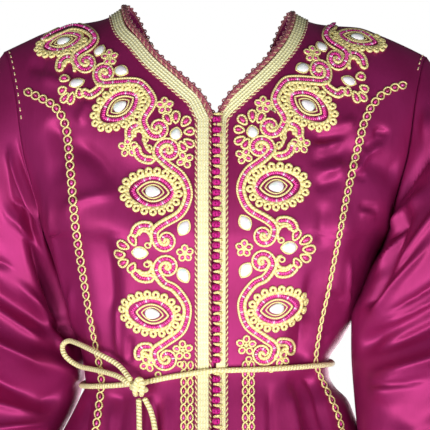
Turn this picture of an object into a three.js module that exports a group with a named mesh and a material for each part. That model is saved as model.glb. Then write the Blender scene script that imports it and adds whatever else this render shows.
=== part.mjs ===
// A knee-length satin kaftan tunic, open-necked and belted with a tied rope, as it fills out on a figure.
// Millimetres, +Z up. The front faces -Y and the wearer's right is -X. The origin lies level with the
// base of the neck, midway between the shoulders.
import * as THREE from 'three';

// ---- driving dimensions -----------------------------------------------------------------------------
const CLOTH = 1.5;             // wall of the satin panels
const SEAM = 0.3;              // left open between neighbouring pieces
const LIFT = 0.45;             // from a panel to the trim that lies on it
const TRIM = 1.2;              // thickness of braid and couched chain

const ARMPIT_Z = -215;
const HEM_Z = -1000;
const WAIST_Z = -356;          // where the rope belt draws the cloth in
const BELT_TILT = 0.12;        // the belt line climbs towards the wearer's left
const BELT_TILT_REACH = 70;    // and the cloth near it follows over this height
const ROUND = 2.3;             // exponent of the body's oval rings

const CHEST_HALF = 178;        // half the width at the armpits
const YOKE_SPREAD = 62;        // the yoke's rings open this much wider, towards the shoulder points
const SHOULDER_X = 222;        // shoulder point, where the armhole seam tops out

const BRAID_WIDTH = 12;
const NECK_CORD_D = 5;
const CHAIN_WIDTH = 7;
const CENTRE_GAP = SEAM / 2;   // each front stops short of the centre line by this

const BUTTON_R = 4.3;
const BUTTON_PITCH = 10.5;
const BUTTON_WAIST_R = 1.6;    // the shank between two knotted buttons
const FIRST_BUTTON_Z = -99;
const LAST_BUTTON_Z = -985;

const ROPE_D = 5.5;
const KNOT_X = -77;

const SATIN = { color: 0x94225d, roughness: 0.42, metalness: 0.1 };
const GOLD = { color: 0xe6dca0, roughness: 0.55, metalness: 0.25 };
const ROPE = { color: 0xdec78f, roughness: 0.6, metalness: 0.15 };
const PLUM = { color: 0xaf2868, roughness: 0.6, metalness: 0.0 };
const PEARL = { color: 0xf6f6ef, roughness: 0.12, metalness: 0.0 };

const WEARER = [
  { name: 'right', sign: -1 },
  { name: 'left', sign: 1 },
];
const FRONT = -1;
const BACK = 1;

// Oval rings of the body from the armpit to the hem: half widths at the wearer's right and left sides,
// and how far the front and the back stand off the middle.
const RINGS = [
  { z: -215, right: 178, left: 178, front: 125, back: 105 },
  { z: -240, right: 168, left: 168, front: 121, back: 102 },
  { z: -270, right: 159, left: 157, front: 115, back: 98 },
  { z: -300, right: 149, left: 143, front: 107, back: 92 },
  { z: -330, right: 139, left: 128, front: 99, back: 87 },
  { z: -356, right: 136, left: 118, front: 94, back: 84 },
  { z: -370, right: 142, left: 119, front: 96, back: 87 },
  { z: -392, right: 151, left: 134, front: 101, back: 94 },
  { z: -415, right: 157, left: 146, front: 106, back: 102 },
  { z: -450, right: 166, left: 160, front: 112, back: 112 },
  { z: -520, right: 181, left: 180, front: 121, back: 126 },
  { z: -640, right: 207, left: 206, front: 137, back: 142 },
  { z: -800, right: 238, left: 238, front: 158, back: 162 },
  { z: -1000, right: 275, left: 275, front: 184, back: 188 },
];

// Height of the shoulder ridge, outwards from the middle. The collar stands up beside the neck.
const RIDGE = [
  { x: 0, right: 40, left: 30 },
  { x: 80, right: 29, left: 15.5 },
  { x: 95, right: 22, left: 8.5 },
  { x: 107, right: 14, left: 5 },
  { x: 122, right: 8.5, left: 3.2 },
  { x: 148, right: 4, left: 1.5 },
  { x: 175, right: -3, left: -8 },
  { x: 200, right: -15.5, left: -19 },
  { x: 222, right: -29, left: -30 },
];

// Neck opening: half its width on each side, from the foot of the V up to the shoulder.
const NECK = [
  { z: -95, right: 0.15, left: 0.15 },
  { z: -85, right: 6, left: 5.5 },
  { z: -73, right: 15, left: 15 },
  { z: -62, right: 27, left: 26.5 },
  { z: -50, right: 40.5, left: 39.5 },
  { z: -31, right: 61, left: 57.5 },
  { z: -14, right: 75, left: 70 },
  { z: 5, right: 90, left: 78 },
  { z: 22, right: 95, left: 81 },
];
const NECK_LEVEL = { right: 0.27, left: 0.27 };   // level of the V's foot, where the fronts part

// Armhole seam: how far out each yoke ring runs, from the armpit up to the shoulder point.
const ARMHOLE = [
  { level: 0, x: CHEST_HALF },
  { level: 0.03, x: 179.5 },
  { level: 0.09, x: 182.5 },
  { level: 0.18, x: 190 },
  { level: 0.27, x: 197 },
  { level: 0.36, x: 201 },
  { level: 0.48, x: 205 },
  { level: 0.7, x: 213 },
  { level: 1, x: SHOULDER_X },
];

// The couched chain down each front, from the yoke to the hem.
const CHAIN_LINE = [
  { z: -1000, right: 205, left: 208 },
  { z: -520, right: 134, left: 142 },
  { z: -410, right: 121, left: 128 },
  { z: -390, right: 118.5, left: 121 },
  { z: -365, right: 116, left: 109 },
  { z: -345, right: 119, left: 102 },
  { z: -310, right: 126, left: 106 },
  { z: -270, right: 132, left: 114 },
  { z: -220, right: 139, left: 123 },
  { z: -170, right: 144, left: 133 },
  { z: -130, right: 148, left: 143 },
  { z: -105, right: 153, left: 149 },
  { z: -85, right: 160, left: 157 },
];
const CHAIN_TOP_LEVEL = 0.5;

// Levels that carry a row of facets: -1 at the hem, 0 at the armpit, 1 on the shoulder ridge.
const SKIRT_LEVELS = [-1, -0.9, -0.8, -0.7, -0.61, -0.525, -0.445, -0.375, -0.31, -0.255, -0.22,
  -0.197, -0.1796, -0.16, -0.135, -0.105, -0.07, -0.035];
const FRONT_LEVELS = [0, 0.03, 0.09, 0.18, 0.27, 0.32, 0.36, 0.41, 0.47, 0.55, 0.66, 0.78, 0.9, 1];
const BACK_LEVELS = [0, 0.03, 0.09, 0.2, 0.33, 0.47, 0.62, 0.78, 0.9, 1];

// Back neckline: how low its scoop comes, and its fullness.
const SCOOP_DEPTH = 0.68;
const SCOOP_FULLNESS = 0.62;

// Flutes of the skirt, as soft ridges and hollows that open from `top` down to the hem. `turn` runs
// from 0 at the centre to 1 at the side seam.
const FLUTES = [
  { facing: FRONT, sign: -1, turn: 0.3, half: 0.085, rise: 11, top: -470 },
  { facing: FRONT, sign: -1, turn: 0.45, half: 0.075, rise: -12, top: -400 },
  { facing: FRONT, sign: -1, turn: 0.61, half: 0.08, rise: 15, top: -420 },
  { facing: FRONT, sign: -1, turn: 0.79, half: 0.07, rise: -13, top: -390 },
  { facing: FRONT, sign: 1, turn: 0.26, half: 0.075, rise: -10, top: -430 },
  { facing: FRONT, sign: 1, turn: 0.41, half: 0.08, rise: 14, top: -400 },
  { facing: FRONT, sign: 1, turn: 0.58, half: 0.07, rise: -13, top: -380 },
  { facing: FRONT, sign: 1, turn: 0.76, half: 0.085, rise: 13, top: -440 },
  { facing: BACK, sign: -1, turn: 0.14, half: 0.08, rise: -13, top: -390 },
  { facing: BACK, sign: -1, turn: 0.34, half: 0.09, rise: 15, top: -420 },
  { facing: BACK, sign: -1, turn: 0.53, half: 0.08, rise: -14, top: -400 },
  { facing: BACK, sign: -1, turn: 0.74, half: 0.09, rise: 14, top: -430 },
  { facing: BACK, sign: 1, turn: 0.1, half: 0.08, rise: 14, top: -430 },
  { facing: BACK, sign: 1, turn: 0.29, half: 0.085, rise: -14, top: -400 },
  { facing: BACK, sign: 1, turn: 0.5, half: 0.09, rise: 16, top: -410 },
  { facing: BACK, sign: 1, turn: 0.7, half: 0.085, rise: -13, top: -390 },
];

// The largest creases of the bodice and hips, each along a straight run from one end to the other.
const BODY_CREASES = [
  { facing: FRONT, x0: -108, z0: -215, x1: -104, z1: -340, half: 13, rise: -6 },
  { facing: FRONT, x0: -86, z0: -230, x1: -88, z1: -345, half: 14, rise: 4 },
  { facing: FRONT, x0: 88, z0: -310, x1: 84, z1: -345, half: 10, rise: -6 },
  { facing: FRONT, x0: 108, z0: -118, x1: 178, z1: -150, half: 13, rise: -4 },
  { facing: FRONT, x0: 88, z0: -368, x1: 108, z1: -430, half: 12, rise: -6 },
  { facing: FRONT, x0: -100, z0: -380, x1: -112, z1: -450, half: 12, rise: -6 },
  { facing: BACK, x0: -70, z0: -225, x1: -58, z1: -345, half: 15, rise: -6 },
  { facing: BACK, x0: 74, z0: -240, x1: 62, z1: -345, half: 15, rise: -6 },
  { facing: BACK, x0: -20, z0: -170, x1: -110, z1: -120, half: 16, rise: -4 },
  { facing: BACK, x0: 30, z0: -190, x1: 120, z1: -140, half: 16, rise: -4 },
];

// Rings of a sleeve by the distance down from the armhole: its upper outer and lower inner ends, its
// half depth, and how far it swings behind (+) or before (-) the body.
const SLEEVE_RINGS = {
  right: [
    { down: 0, outX: 222, outZ: -30, inX: 178.4, inZ: -215, deep: 52, swing: 0 },
    { down: 45, outX: 248, outZ: -68, inX: 178, inZ: -229, deep: 60, swing: 6 },
    { down: 95, outX: 270, outZ: -120, inX: 172.5, inZ: -247, deep: 66, swing: 14 },
    { down: 150, outX: 285, outZ: -178, inX: 165, inZ: -272, deep: 69, swing: 22 },
    { down: 210, outX: 293, outZ: -240, inX: 157, inZ: -300, deep: 69, swing: 26 },
    { down: 280, outX: 301, outZ: -315, inX: 145, inZ: -338, deep: 70, swing: 26 },
    { down: 350, outX: 311, outZ: -382, inX: 151, inZ: -385, deep: 72, swing: 20 },
    { down: 420, outX: 323, outZ: -450, inX: 173, inZ: -430, deep: 74, swing: 12 },
    { down: 520, outX: 345, outZ: -548, inX: 200, inZ: -522, deep: 78, swing: 0 },
    { down: 620, outX: 370, outZ: -645, inX: 222, inZ: -612, deep: 82, swing: -12 },
  ],
  left: [
    { down: 0, outX: 222, outZ: -31, inX: 178.4, inZ: -215, deep: 52, swing: 0 },
    { down: 45, outX: 248, outZ: -70, inX: 175, inZ: -229, deep: 60, swing: -8 },
    { down: 95, outX: 270, outZ: -122, inX: 168, inZ: -248, deep: 66, swing: -18 },
    { down: 150, outX: 284, outZ: -178, inX: 158, inZ: -272, deep: 69, swing: -24 },
    { down: 210, outX: 292, outZ: -240, inX: 145.5, inZ: -300, deep: 69, swing: -24 },
    { down: 280, outX: 299, outZ: -315, inX: 141, inZ: -338, deep: 69, swing: -22 },
    { down: 350, outX: 308, outZ: -382, inX: 147, inZ: -385, deep: 71, swing: -20 },
    { down: 420, outX: 321, outZ: -450, inX: 163, inZ: -430, deep: 74, swing: -20 },
    { down: 520, outX: 345, outZ: -548, inX: 196, inZ: -522, deep: 78, swing: -20 },
    { down: 620, outX: 370, outZ: -645, inX: 222, inZ: -612, deep: 82, swing: -20 },
  ],
};
const SLEEVE_STEPS = 15;
const ARMHOLE_EASE = 130;      // the armhole's own outline fades out of the sleeve over this length
const ARMHOLE_SHIFT = 0.5;     // the sleeve starts this far outside the armhole edge
const SLEEVE_GIRTH = 480;      // round the upper arm, for distances across the creases

// Creases of a sleeve: `around` in parts of a turn from the top over the front, `down` in millimetres.
const SLEEVE_CREASES = {
  right: [
    { around0: 0.16, down0: 215, around1: 0.4, down1: 250, half: 17, rise: -8 },
    { around0: 0.14, down0: 268, around1: 0.42, down1: 318, half: 16, rise: 8 },
    { around0: 0.12, down0: 300, around1: 0.36, down1: 356, half: 17, rise: -9 },
    { around0: 0.3, down0: 90, around1: 0.38, down1: 210, half: 15, rise: -6 },
    { around0: 0.62, down0: 235, around1: 0.84, down1: 275, half: 20, rise: -8 },
    { around0: 0.6, down0: 340, around1: 0.86, down1: 300, half: 20, rise: 7 },
    { around0: 0.1, down0: 430, around1: 0.4, down1: 470, half: 22, rise: -7 },
    { around0: 0.6, down0: 470, around1: 0.9, down1: 420, half: 22, rise: -7 },
  ],
  left: [
    { around0: 0.12, down0: 205, around1: 0.4, down1: 262, half: 17, rise: -8 },
    { around0: 0.1, down0: 245, around1: 0.36, down1: 330, half: 18, rise: 8 },
    { around0: 0.1, down0: 290, around1: 0.3, down1: 380, half: 17, rise: -8 },
    { around0: 0.34, down0: 60, around1: 0.4, down1: 180, half: 15, rise: -6 },
    { around0: 0.6, down0: 250, around1: 0.84, down1: 230, half: 20, rise: -8 },
    { around0: 0.62, down0: 310, around1: 0.88, down1: 340, half: 20, rise: 7 },
    { around0: 0.12, down0: 450, around1: 0.38, down1: 430, half: 22, rise: -7 },
    { around0: 0.6, down0: 430, around1: 0.88, down1: 480, half: 22, rise: -7 },
  ],
};

// Embroidered almond medallions and the cabochons sewn beside them, as placed on the wearer's right
// front. On the left front they are mirrored and moved by leftX and leftZ.
const MEDALLIONS = [
  { x: -152, z: -22, long: 27, wide: 15, tilt: 8, leftX: -10, leftZ: 4 },
  { x: -96.5, z: -87, long: 28, wide: 17, tilt: 25, leftX: -3, leftZ: 1 },
  { x: -64, z: -170, long: 29, wide: 20, tilt: -8, leftX: -2, leftZ: 5 },
  { x: -64, z: -293, long: 29, wide: 20, tilt: -8, leftX: -2, leftZ: 5 },
];
const STONES = [
  { x: -115, z: -31, long: 6, wide: 4, tilt: 60, leftX: -4, leftZ: -1 },
  { x: -94.5, z: -51, long: 6.5, wide: 4.5, tilt: -30, leftX: -2, leftZ: -2 },
  { x: -138.5, z: -63, long: 6.5, wide: 5, tilt: 20, leftX: -2, leftZ: 4 },
  { x: -39.5, z: -114, long: 6, wide: 4.5, tilt: 80, leftX: -2, leftZ: 4 },
  { x: -31, z: -208, long: 7, wide: 5, tilt: 60, leftX: -1, leftZ: 3 },
  { x: -76, z: -233, long: 7, wide: 6, tilt: 0, leftX: -1, leftZ: 5 },
  { x: -32, z: -255, long: 7, wide: 5, tilt: -60, leftX: -1, leftZ: 2 },
];
const MEDALLION_STONE = { long: 8, wide: 5 };
const STONE_RISE = 3.5;

// Free stretches of the rope belt, by their points across and up; each lies just before the cloth.
const LOOP_ROUTE = [
  { x: -85, z: -361, y: -101 }, { x: -99, z: -346.5, y: -88 }, { x: -117.5, z: -334, y: -74 },
  { x: -137.5, z: -325.5, y: -52 }, { x: -150.5, z: -322, y: -36 }, { x: -155.5, z: -326, y: -30 },
  { x: -151.5, z: -334.5, y: -33 }, { x: -142, z: -344, y: -42 }, { x: -122, z: -352.5, y: -68 },
  { x: -101.5, z: -358.5, y: -90 }, { x: -87, z: -366, y: -101 },
];
const END_ROUTES = {
  a: [
    { x: -79.5, z: -381 }, { x: -80, z: -400 }, { x: -78.5, z: -440 }, { x: -80, z: -490 },
    { x: -83, z: -540 }, { x: -84, z: -590 }, { x: -86, z: -640 },
  ],
  b: [
    { x: -71.5, z: -380 }, { x: -65, z: -393 }, { x: -60.5, z: -413 }, { x: -57, z: -450 },
    { x: -54, z: -500 }, { x: -53, z: -550 }, { x: -51, z: -604 },
  ],
};
const END_KNOT_R = 7;

// ---- helpers ------------------------------------------------------------------------------------------
const vec = (x, y, z) => new THREE.Vector3(x, y, z);
const clamp = THREE.MathUtils.clamp;
const lerp = THREE.MathUtils.lerp;
const smooth = (t) => THREE.MathUtils.smoothstep(t, 0, 1);

/** A smooth curve without overshoot through two columns of a table; it stays level beyond the ends. */
function through(rows, key, column) {
  const sorted = [...rows].sort((p, q) => p[key] - q[key]);
  const xs = sorted.map((row) => row[key]);
  const ys = sorted.map((row) => row[column]);
  const last = xs.length - 1;
  const rise = xs.slice(1).map((x, i) => (ys[i + 1] - ys[i]) / (x - xs[i]));
  const slope = xs.map((_, i) => {
    if (i === 0) return rise[0];
    if (i === last) return rise[last - 1];
    const product = rise[i - 1] * rise[i];
    return product > 0 ? (2 * product) / (rise[i - 1] + rise[i]) : 0;
  });
  return (at) => {
    const x = clamp(at, xs[0], xs[last]);
    const found = xs.findIndex((value, i) => i > 0 && x <= value);
    const i = Math.max(found, 1) - 1;
    const span = xs[i + 1] - xs[i];
    const t = (x - xs[i]) / span;
    const u = 1 - t;
    return ys[i] * (1 + 2 * t) * u * u + ys[i + 1] * (3 - 2 * t) * t * t
      + span * (slope[i] * t * u * u - slope[i + 1] * t * t * u);
  };
}

const bySide = (rows, key) => ({ right: through(rows, key, 'right'), left: through(rows, key, 'left') });
const ringHalf = bySide(RINGS, 'z');
const ringDeep = { [FRONT]: through(RINGS, 'z', 'front'), [BACK]: through(RINGS, 'z', 'back') };
const ridgeHeight = bySide(RIDGE, 'x');
const neckHalf = bySide(NECK, 'z');
const chainLine = bySide(CHAIN_LINE, 'z');
const armholeX = through(ARMHOLE, 'level', 'x');

/** How far a point lies from a straight run, in the plane of the two coordinates. */
function distanceFromRun(a, b, a0, b0, a1, b1) {
  const along = clamp(((a - a0) * (a1 - a0) + (b - b0) * (b1 - b0)) / ((a1 - a0) ** 2 + (b1 - b0) ** 2), 0, 1);
  return Math.hypot(a - lerp(a0, a1, along), b - lerp(b0, b1, along));
}

/** One closed mesh from shared vertices and triangles, turned so that its faces point out. */
function solid(name, finish, vertices, triangles) {
  let volume = 0;
  for (const [a, b, c] of triangles) {
    volume += vertices[a].dot(new THREE.Vector3().crossVectors(vertices[b], vertices[c]));
  }
  const faces = volume < 0 ? triangles.map(([a, b, c]) => [a, c, b]) : triangles;
  const geometry = new THREE.BufferGeometry();
  geometry.setAttribute('position', new THREE.Float32BufferAttribute(vertices.flatMap((v) => v.toArray()), 3));
  geometry.setIndex(faces.flat());
  geometry.computeVertexNormals();
  const mesh = new THREE.Mesh(geometry, new THREE.MeshStandardMaterial(finish));
  mesh.name = name;
  return mesh;
}

/** A wall of even thickness on a grid of points and outward normals, `lift` off the grid. */
function wall(name, finish, grid, { thickness = CLOTH, lift = 0, loop = false } = {}) {
  const rows = grid.length;
  const columns = grid[0].length;
  const face = (rise) => grid.flat().map(({ point, normal }) => point.clone().addScaledVector(normal, rise));
  const vertices = [...face(lift + (lift > 0 ? thickness : 0)), ...face(lift > 0 ? lift : -thickness)];
  const under = rows * columns;
  const at = (j, i) => j * columns + (i % columns);
  const triangles = [];
  const quad = (a, b, c, d) => triangles.push([a, b, c], [a, c, d]);
  const cells = loop ? columns : columns - 1;
  for (let j = 0; j < rows - 1; j += 1) {
    for (let i = 0; i < cells; i += 1) {
      quad(at(j, i), at(j, i + 1), at(j + 1, i + 1), at(j + 1, i));
      quad(under + at(j + 1, i), under + at(j + 1, i + 1), under + at(j, i + 1), under + at(j, i));
    }
    if (!loop) {
      quad(at(j + 1, 0), under + at(j + 1, 0), under + at(j, 0), at(j, 0));
      quad(at(j, cells), under + at(j, cells), under + at(j + 1, cells), at(j + 1, cells));
    }
  }
  for (let i = 0; i < cells; i += 1) {
    quad(at(0, i), under + at(0, i), under + at(0, i + 1), at(0, i + 1));
    quad(at(rows - 1, i + 1), under + at(rows - 1, i + 1), under + at(rows - 1, i), at(rows - 1, i));
  }
  return solid(name, finish, vertices, triangles);
}

/** A round strand along points, with a radius at each of its steps. */
function strand(name, finish, points, radii, { sides = 8, closed = false } = {}) {
  const curve = new THREE.CatmullRomCurve3(points, closed, 'centripetal');
  const steps = radii.length - (closed ? 0 : 1);
  const frames = curve.computeFrenetFrames(steps, closed);
  const vertices = [];
  radii.forEach((radius, k) => {
    const centre = curve.getPointAt(k / steps);
    for (let i = 0; i < sides; i += 1) {
      const turn = (2 * Math.PI * i) / sides;
      vertices.push(centre.clone()
        .addScaledVector(frames.normals[k], radius * Math.cos(turn))
        .addScaledVector(frames.binormals[k], radius * Math.sin(turn)));
    }
  });
  const at = (k, i) => (k % radii.length) * sides + (i % sides);
  const triangles = [];
  for (let k = 0; k < steps; k += 1) {
    for (let i = 0; i < sides; i += 1) {
      triangles.push([at(k, i), at(k, i + 1), at(k + 1, i + 1)], [at(k, i), at(k + 1, i + 1), at(k + 1, i)]);
    }
  }
  if (!closed) {
    for (let i = 1; i < sides - 1; i += 1) {
      triangles.push([at(0, 0), at(0, i + 1), at(0, i)], [at(steps, 0), at(steps, i), at(steps, i + 1)]);
    }
  }
  return solid(name, finish, vertices, triangles);
}

const evenRope = (name, points, steps, options) =>
  strand(name, ROPE, points, Array(steps).fill(ROPE_D / 2), options);

// ---- the body's surface ---------------------------------------------------------------------------------
/** Half the width of the ring at a level of the yoke. */
const yokeHalf = (level) => CHEST_HALF + YOKE_SPREAD * Math.sin((level * Math.PI) / 2) ** 0.6;

/** Half the width of the ring at any level. */
function halfAt(side, level) {
  return level > 0 ? yokeHalf(level) : ringHalf[side.name](ARMPIT_Z + level * (ARMPIT_Z - HEM_Z));
}

/** The turn, 0 at the centre to 1 at the side seam, at which a ring is `x` from the middle. */
function turnAt(side, x, level) {
  return (2 / Math.PI) * Math.asin(clamp(x / halfAt(side, level), 0, 1) ** (ROUND / 2));
}

/** A point of the smooth body, before its creases. */
function bodyPoint(side, facing, turn, level) {
  const angle = (turn * Math.PI) / 2;
  const across = Math.max(Math.sin(angle), 0) ** (2 / ROUND);
  const out = Math.max(Math.cos(angle), 0) ** (2 / ROUND);
  const x = side.sign * halfAt(side, level) * across;
  if (level > 0) {
    const climb = (level * Math.PI) / 2;
    const y = facing * ringDeep[facing](ARMPIT_Z) * out * Math.max(Math.cos(climb), 0) ** 1.2;
    return vec(x, y, ARMPIT_Z + (ridgeHeight[side.name](Math.abs(x)) - ARMPIT_Z) * Math.sin(climb));
  }
  const z = ARMPIT_Z + level * (ARMPIT_Z - HEM_Z);
  const tilt = BELT_TILT * x * Math.exp(-(((z - WAIST_Z) / BELT_TILT_REACH) ** 2)) * smooth(-level / 0.05);
  return vec(x, facing * ringDeep[facing](z) * out, z + tilt);
}

/** The outward normal of a surface given by turn and level, level at the seams so that their edges meet. */
function normalOf(surface, side, facing, turn, level) {
  const step = 0.004;
  const t = clamp(turn, step, 1 - step);
  const l = clamp(level, -1 + step, 0.975);
  const across = surface(side, facing, t + step, l).sub(surface(side, facing, t - step, l));
  const up = surface(side, facing, t, l + step).sub(surface(side, facing, t, l - step));
  const normal = across.cross(up).multiplyScalar(-side.sign * facing);
  if (turn > 0.999 || level > 0.999) normal.setY(0);
  return normal.normalize();
}

/** How far the creases and flutes raise the cloth; nothing moves at the braid, the side or the armhole. */
function bodyRise(side, facing, turn, level, point) {
  const edge = level > 0 ? turnAt(side, armholeX(level), level) : 1;
  const held = smooth((edge - turn) / 0.09) * (facing === FRONT ? smooth((Math.abs(point.x) - 20) / 25) : 1);
  let rise = 0;
  for (const flute of FLUTES) {
    if (flute.facing === facing && flute.sign === side.sign) {
      const open = smooth((flute.top - point.z) / (flute.top - HEM_Z));
      rise += flute.rise * open * Math.exp(-(((turn - flute.turn) / flute.half) ** 2));
    }
  }
  for (const crease of BODY_CREASES) {
    if (crease.facing === facing) {
      const away = distanceFromRun(point.x, point.z, crease.x0, crease.z0, crease.x1, crease.z1);
      rise += crease.rise * Math.exp(-((away / crease.half) ** 2));
    }
  }
  return rise * held * smooth(Math.abs(point.z - beltZ(point.x)) / 14);
}

const beltZ = (x) => WAIST_Z + BELT_TILT * x;

/** A point of the body with its creases raised off the smooth form. */
function creasedPoint(side, facing, turn, level) {
  const point = bodyPoint(side, facing, turn, level);
  const normal = normalOf(bodyPoint, side, facing, turn, level);
  return point.addScaledVector(normal, bodyRise(side, facing, turn, level, point));
}

/** A point of the finished body with its normal; front and back stop half a seam from the side. */
function onBody(side, facing, turn, level) {
  const point = creasedPoint(side, facing, turn, level);
  point.y += (facing * SEAM) / 2;
  return { point, normal: normalOf(creasedPoint, side, facing, turn, level) };
}

// ---- fronts -----------------------------------------------------------------------------------------------
/** Distance from the middle to the neck or centre edge of a front, and that edge's lean, at a level. */
function frontEdge(side, level) {
  if (level <= NECK_LEVEL[side.name]) return { x: CENTRE_GAP, lean: 0 };
  const half = neckHalf[side.name];
  const ridge = ridgeHeight[side.name];
  const heightAt = (x) => ARMPIT_Z + (ridge(x) - ARMPIT_Z) * Math.sin((level * Math.PI) / 2);
  let x = 40;
  for (let k = 0; k < 60; k += 1) x = lerp(x, half(heightAt(x)), 0.5);
  const z = heightAt(x);
  return { x, lean: (half(z + 2) - half(z - 2)) / 4 };
}

// Distances in from the edge to the braid: the right front's satin shows between braid and buttons.
const BRAID_INSET = { right: { centre: 6.5, neck: 3.4 }, left: { centre: 2.5, neck: 3.4 } };

/** The turns of all columns of a front's grid at a level: braid edges, chain edges, and evenly between. */
function frontColumns(side, level) {
  const edge = frontEdge(side, level);
  const stretch = Math.hypot(1, edge.lean);
  const inset = BRAID_INSET[side.name];
  const inner = lerp(inset.centre, inset.neck, smooth(edge.x / 15)) * stretch;
  const braidIn = edge.x + inner;
  const braidOut = braidIn + BRAID_WIDTH * stretch;
  const middle = bodyPoint(side, FRONT, turnAt(side, 120, level), level);
  const chainIn = chainLine[side.name](middle.z) - CHAIN_WIDTH / 2;
  const outer = level > 0 ? turnAt(side, armholeX(level), level) : 1;
  const turn = (x) => turnAt(side, x, level);
  const between = (from, to, parts) => Array.from({ length: parts - 1 }, (_, i) => lerp(from, to, (i + 1) / parts));
  const chainOut = turn(chainIn + CHAIN_WIDTH);
  return [
    turn(edge.x), turn(braidIn), turn(braidOut),
    ...between(turn(braidOut), turn(chainIn), 5),
    turn(chainIn), chainOut,
    ...between(chainOut, outer, 6), outer,
  ];
}
const COLUMN = { braid: 1, chain: 7 };

function frontGrid(side) {
  return [...SKIRT_LEVELS, ...FRONT_LEVELS].map((level) =>
    frontColumns(side, level).map((turn) => onBody(side, FRONT, turn, level)));
}

// ---- back ---------------------------------------------------------------------------------------------------
/** Where the back's neckline ends on the shoulder, as a share of the way to the armhole. */
const neckShare = (side) => turnAt(side, frontEdge(side, 1).x, 1) / turnAt(side, SHOULDER_X, 1);

/** The level at which the back ends at its top, dipping between the neck's ends. */
function backTop(side, share) {
  const along = Math.min(share / neckShare(side), 1);
  return 1 - SCOOP_DEPTH * (1 - along * along) ** SCOOP_FULLNESS;
}

function onBack(side, share, level) {
  const outer = level > 0 ? turnAt(side, armholeX(level), level) : 1;
  return onBody(side, BACK, share * outer, level);
}

/** Columns of the back from the wearer's right to the left, as a side and a share of its width. */
function backColumns() {
  const half = (side) => {
    const neck = neckShare(side);
    const within = [0.25, 0.5, 0.72, 0.88, 1].map((part) => part * neck);
    const beyond = [1, 2, 3, 4, 5, 6, 7].map((part) => lerp(neck, 1, part / 7));
    return [...within, ...beyond].map((share) => ({ side, share }));
  };
  return [...half(WEARER[0]).reverse(), { side: WEARER[1], share: 0 }, ...half(WEARER[1])];
}

function backGrid() {
  const columns = backColumns();
  const skirt = SKIRT_LEVELS.map((level) => columns.map(({ side, share }) => onBack(side, share, level)));
  const yoke = BACK_LEVELS.map((part) =>
    columns.map(({ side, share }) => onBack(side, share, part * backTop(side, share))));
  return [...skirt, ...yoke];
}

// ---- sleeves --------------------------------------------------------------------------------------------------
/** The armhole's seam points, from the shoulder over the front to the armpit and up the back. */
function armholeLoop(side) {
  const stop = (facing, level) => ({
    ...onBody(side, facing, turnAt(side, armholeX(level), level), level),
    facing,
  });
  const front = FRONT_LEVELS.map((level) => stop(FRONT, level)).reverse();
  const back = BACK_LEVELS.slice(1, -1).map((level) => stop(BACK, level));
  const top = front[0];
  const bottom = front[front.length - 1];
  return [...front, ...back].map((edge) => {
    const share = clamp((edge.point.z - bottom.point.z) / (top.point.z - bottom.point.z), 0, 1);
    const angle = Math.acos(2 * share - 1);
    return { ...edge, angle: edge.facing === FRONT ? angle : 2 * Math.PI - angle };
  });
}

/** The sleeve's smooth ring at a distance down, and the point on it at an angle from the top. */
function sleevePoint(side, angle, down) {
  const ring = sleeveRing[side.name];
  const outer = vec(side.sign * ring.outX(down), ring.swing(down), ring.outZ(down));
  const inner = vec(side.sign * ring.inX(down), ring.swing(down), ring.inZ(down));
  return outer.clone().add(inner).multiplyScalar(0.5)
    .addScaledVector(outer.sub(inner), Math.cos(angle) / 2)
    .add(vec(0, FRONT * ring.deep(down) * Math.sin(angle), 0));
}

const sleeveRing = Object.fromEntries(WEARER.map((side) => [side.name, Object.fromEntries(
  ['outX', 'outZ', 'inX', 'inZ', 'deep', 'swing'].map((column) =>
    [column, through(SLEEVE_RINGS[side.name], 'down', column)]),
)]));

/** How far a sleeve's creases raise it; it stays smooth at the armhole and beside the body. */
function sleeveRise(side, angle, down) {
  const around = angle / (2 * Math.PI);
  let rise = 0;
  for (const crease of SLEEVE_CREASES[side.name]) {
    const away = distanceFromRun(around * SLEEVE_GIRTH, down, crease.around0 * SLEEVE_GIRTH, crease.down0,
      crease.around1 * SLEEVE_GIRTH, crease.down1);
    rise += crease.rise * Math.exp(-((away / crease.half) ** 2));
  }
  return rise * smooth(down / 70) * smooth((Math.abs(around - 0.5) - 0.035) / 0.09);
}

function sleeveGrid(side) {
  const loop = armholeLoop(side);
  const length = SLEEVE_RINGS[side.name].at(-1).down;
  const step = 0.02;
  const shaped = (edge, angle, down) => {
    const ease = 1 - smooth(down / ARMHOLE_EASE);
    const shift = edge.point.clone().sub(sleevePoint(side, edge.angle, 0));
    shift.x += side.sign * ARMHOLE_SHIFT;
    return sleevePoint(side, angle, down).addScaledVector(shift, ease);
  };
  return Array.from({ length: SLEEVE_STEPS + 1 }, (_, k) => {
    const down = length * (k / SLEEVE_STEPS) ** 1.15;
    return loop.map((edge) => {
      const point = shaped(edge, edge.angle, down);
      const around = shaped(edge, edge.angle + step, down).sub(shaped(edge, edge.angle - step, down));
      const along = shaped(edge, edge.angle, down + 4).sub(shaped(edge, edge.angle, Math.max(down - 4, 0)));
      const normal = around.cross(along).multiplyScalar(side.sign).normalize();
      point.addScaledVector(normal, sleeveRise(side, edge.angle, down));
      return k === 0 ? { point, normal: seamNormal(side, edge, normal) } : { point, normal };
    });
  });
}

/** The sleeve's normal at its seam, turned so that its wall doesn't run back into the body's wall. */
function seamNormal(side, edge, normal) {
  const away = vec(side.sign, 0, 0).addScaledVector(edge.normal, -edge.normal.x * side.sign).normalize();
  const back = Math.max(normal.dot(away), 0);
  return normal.clone().addScaledVector(away, -back).normalize();
}

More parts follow.
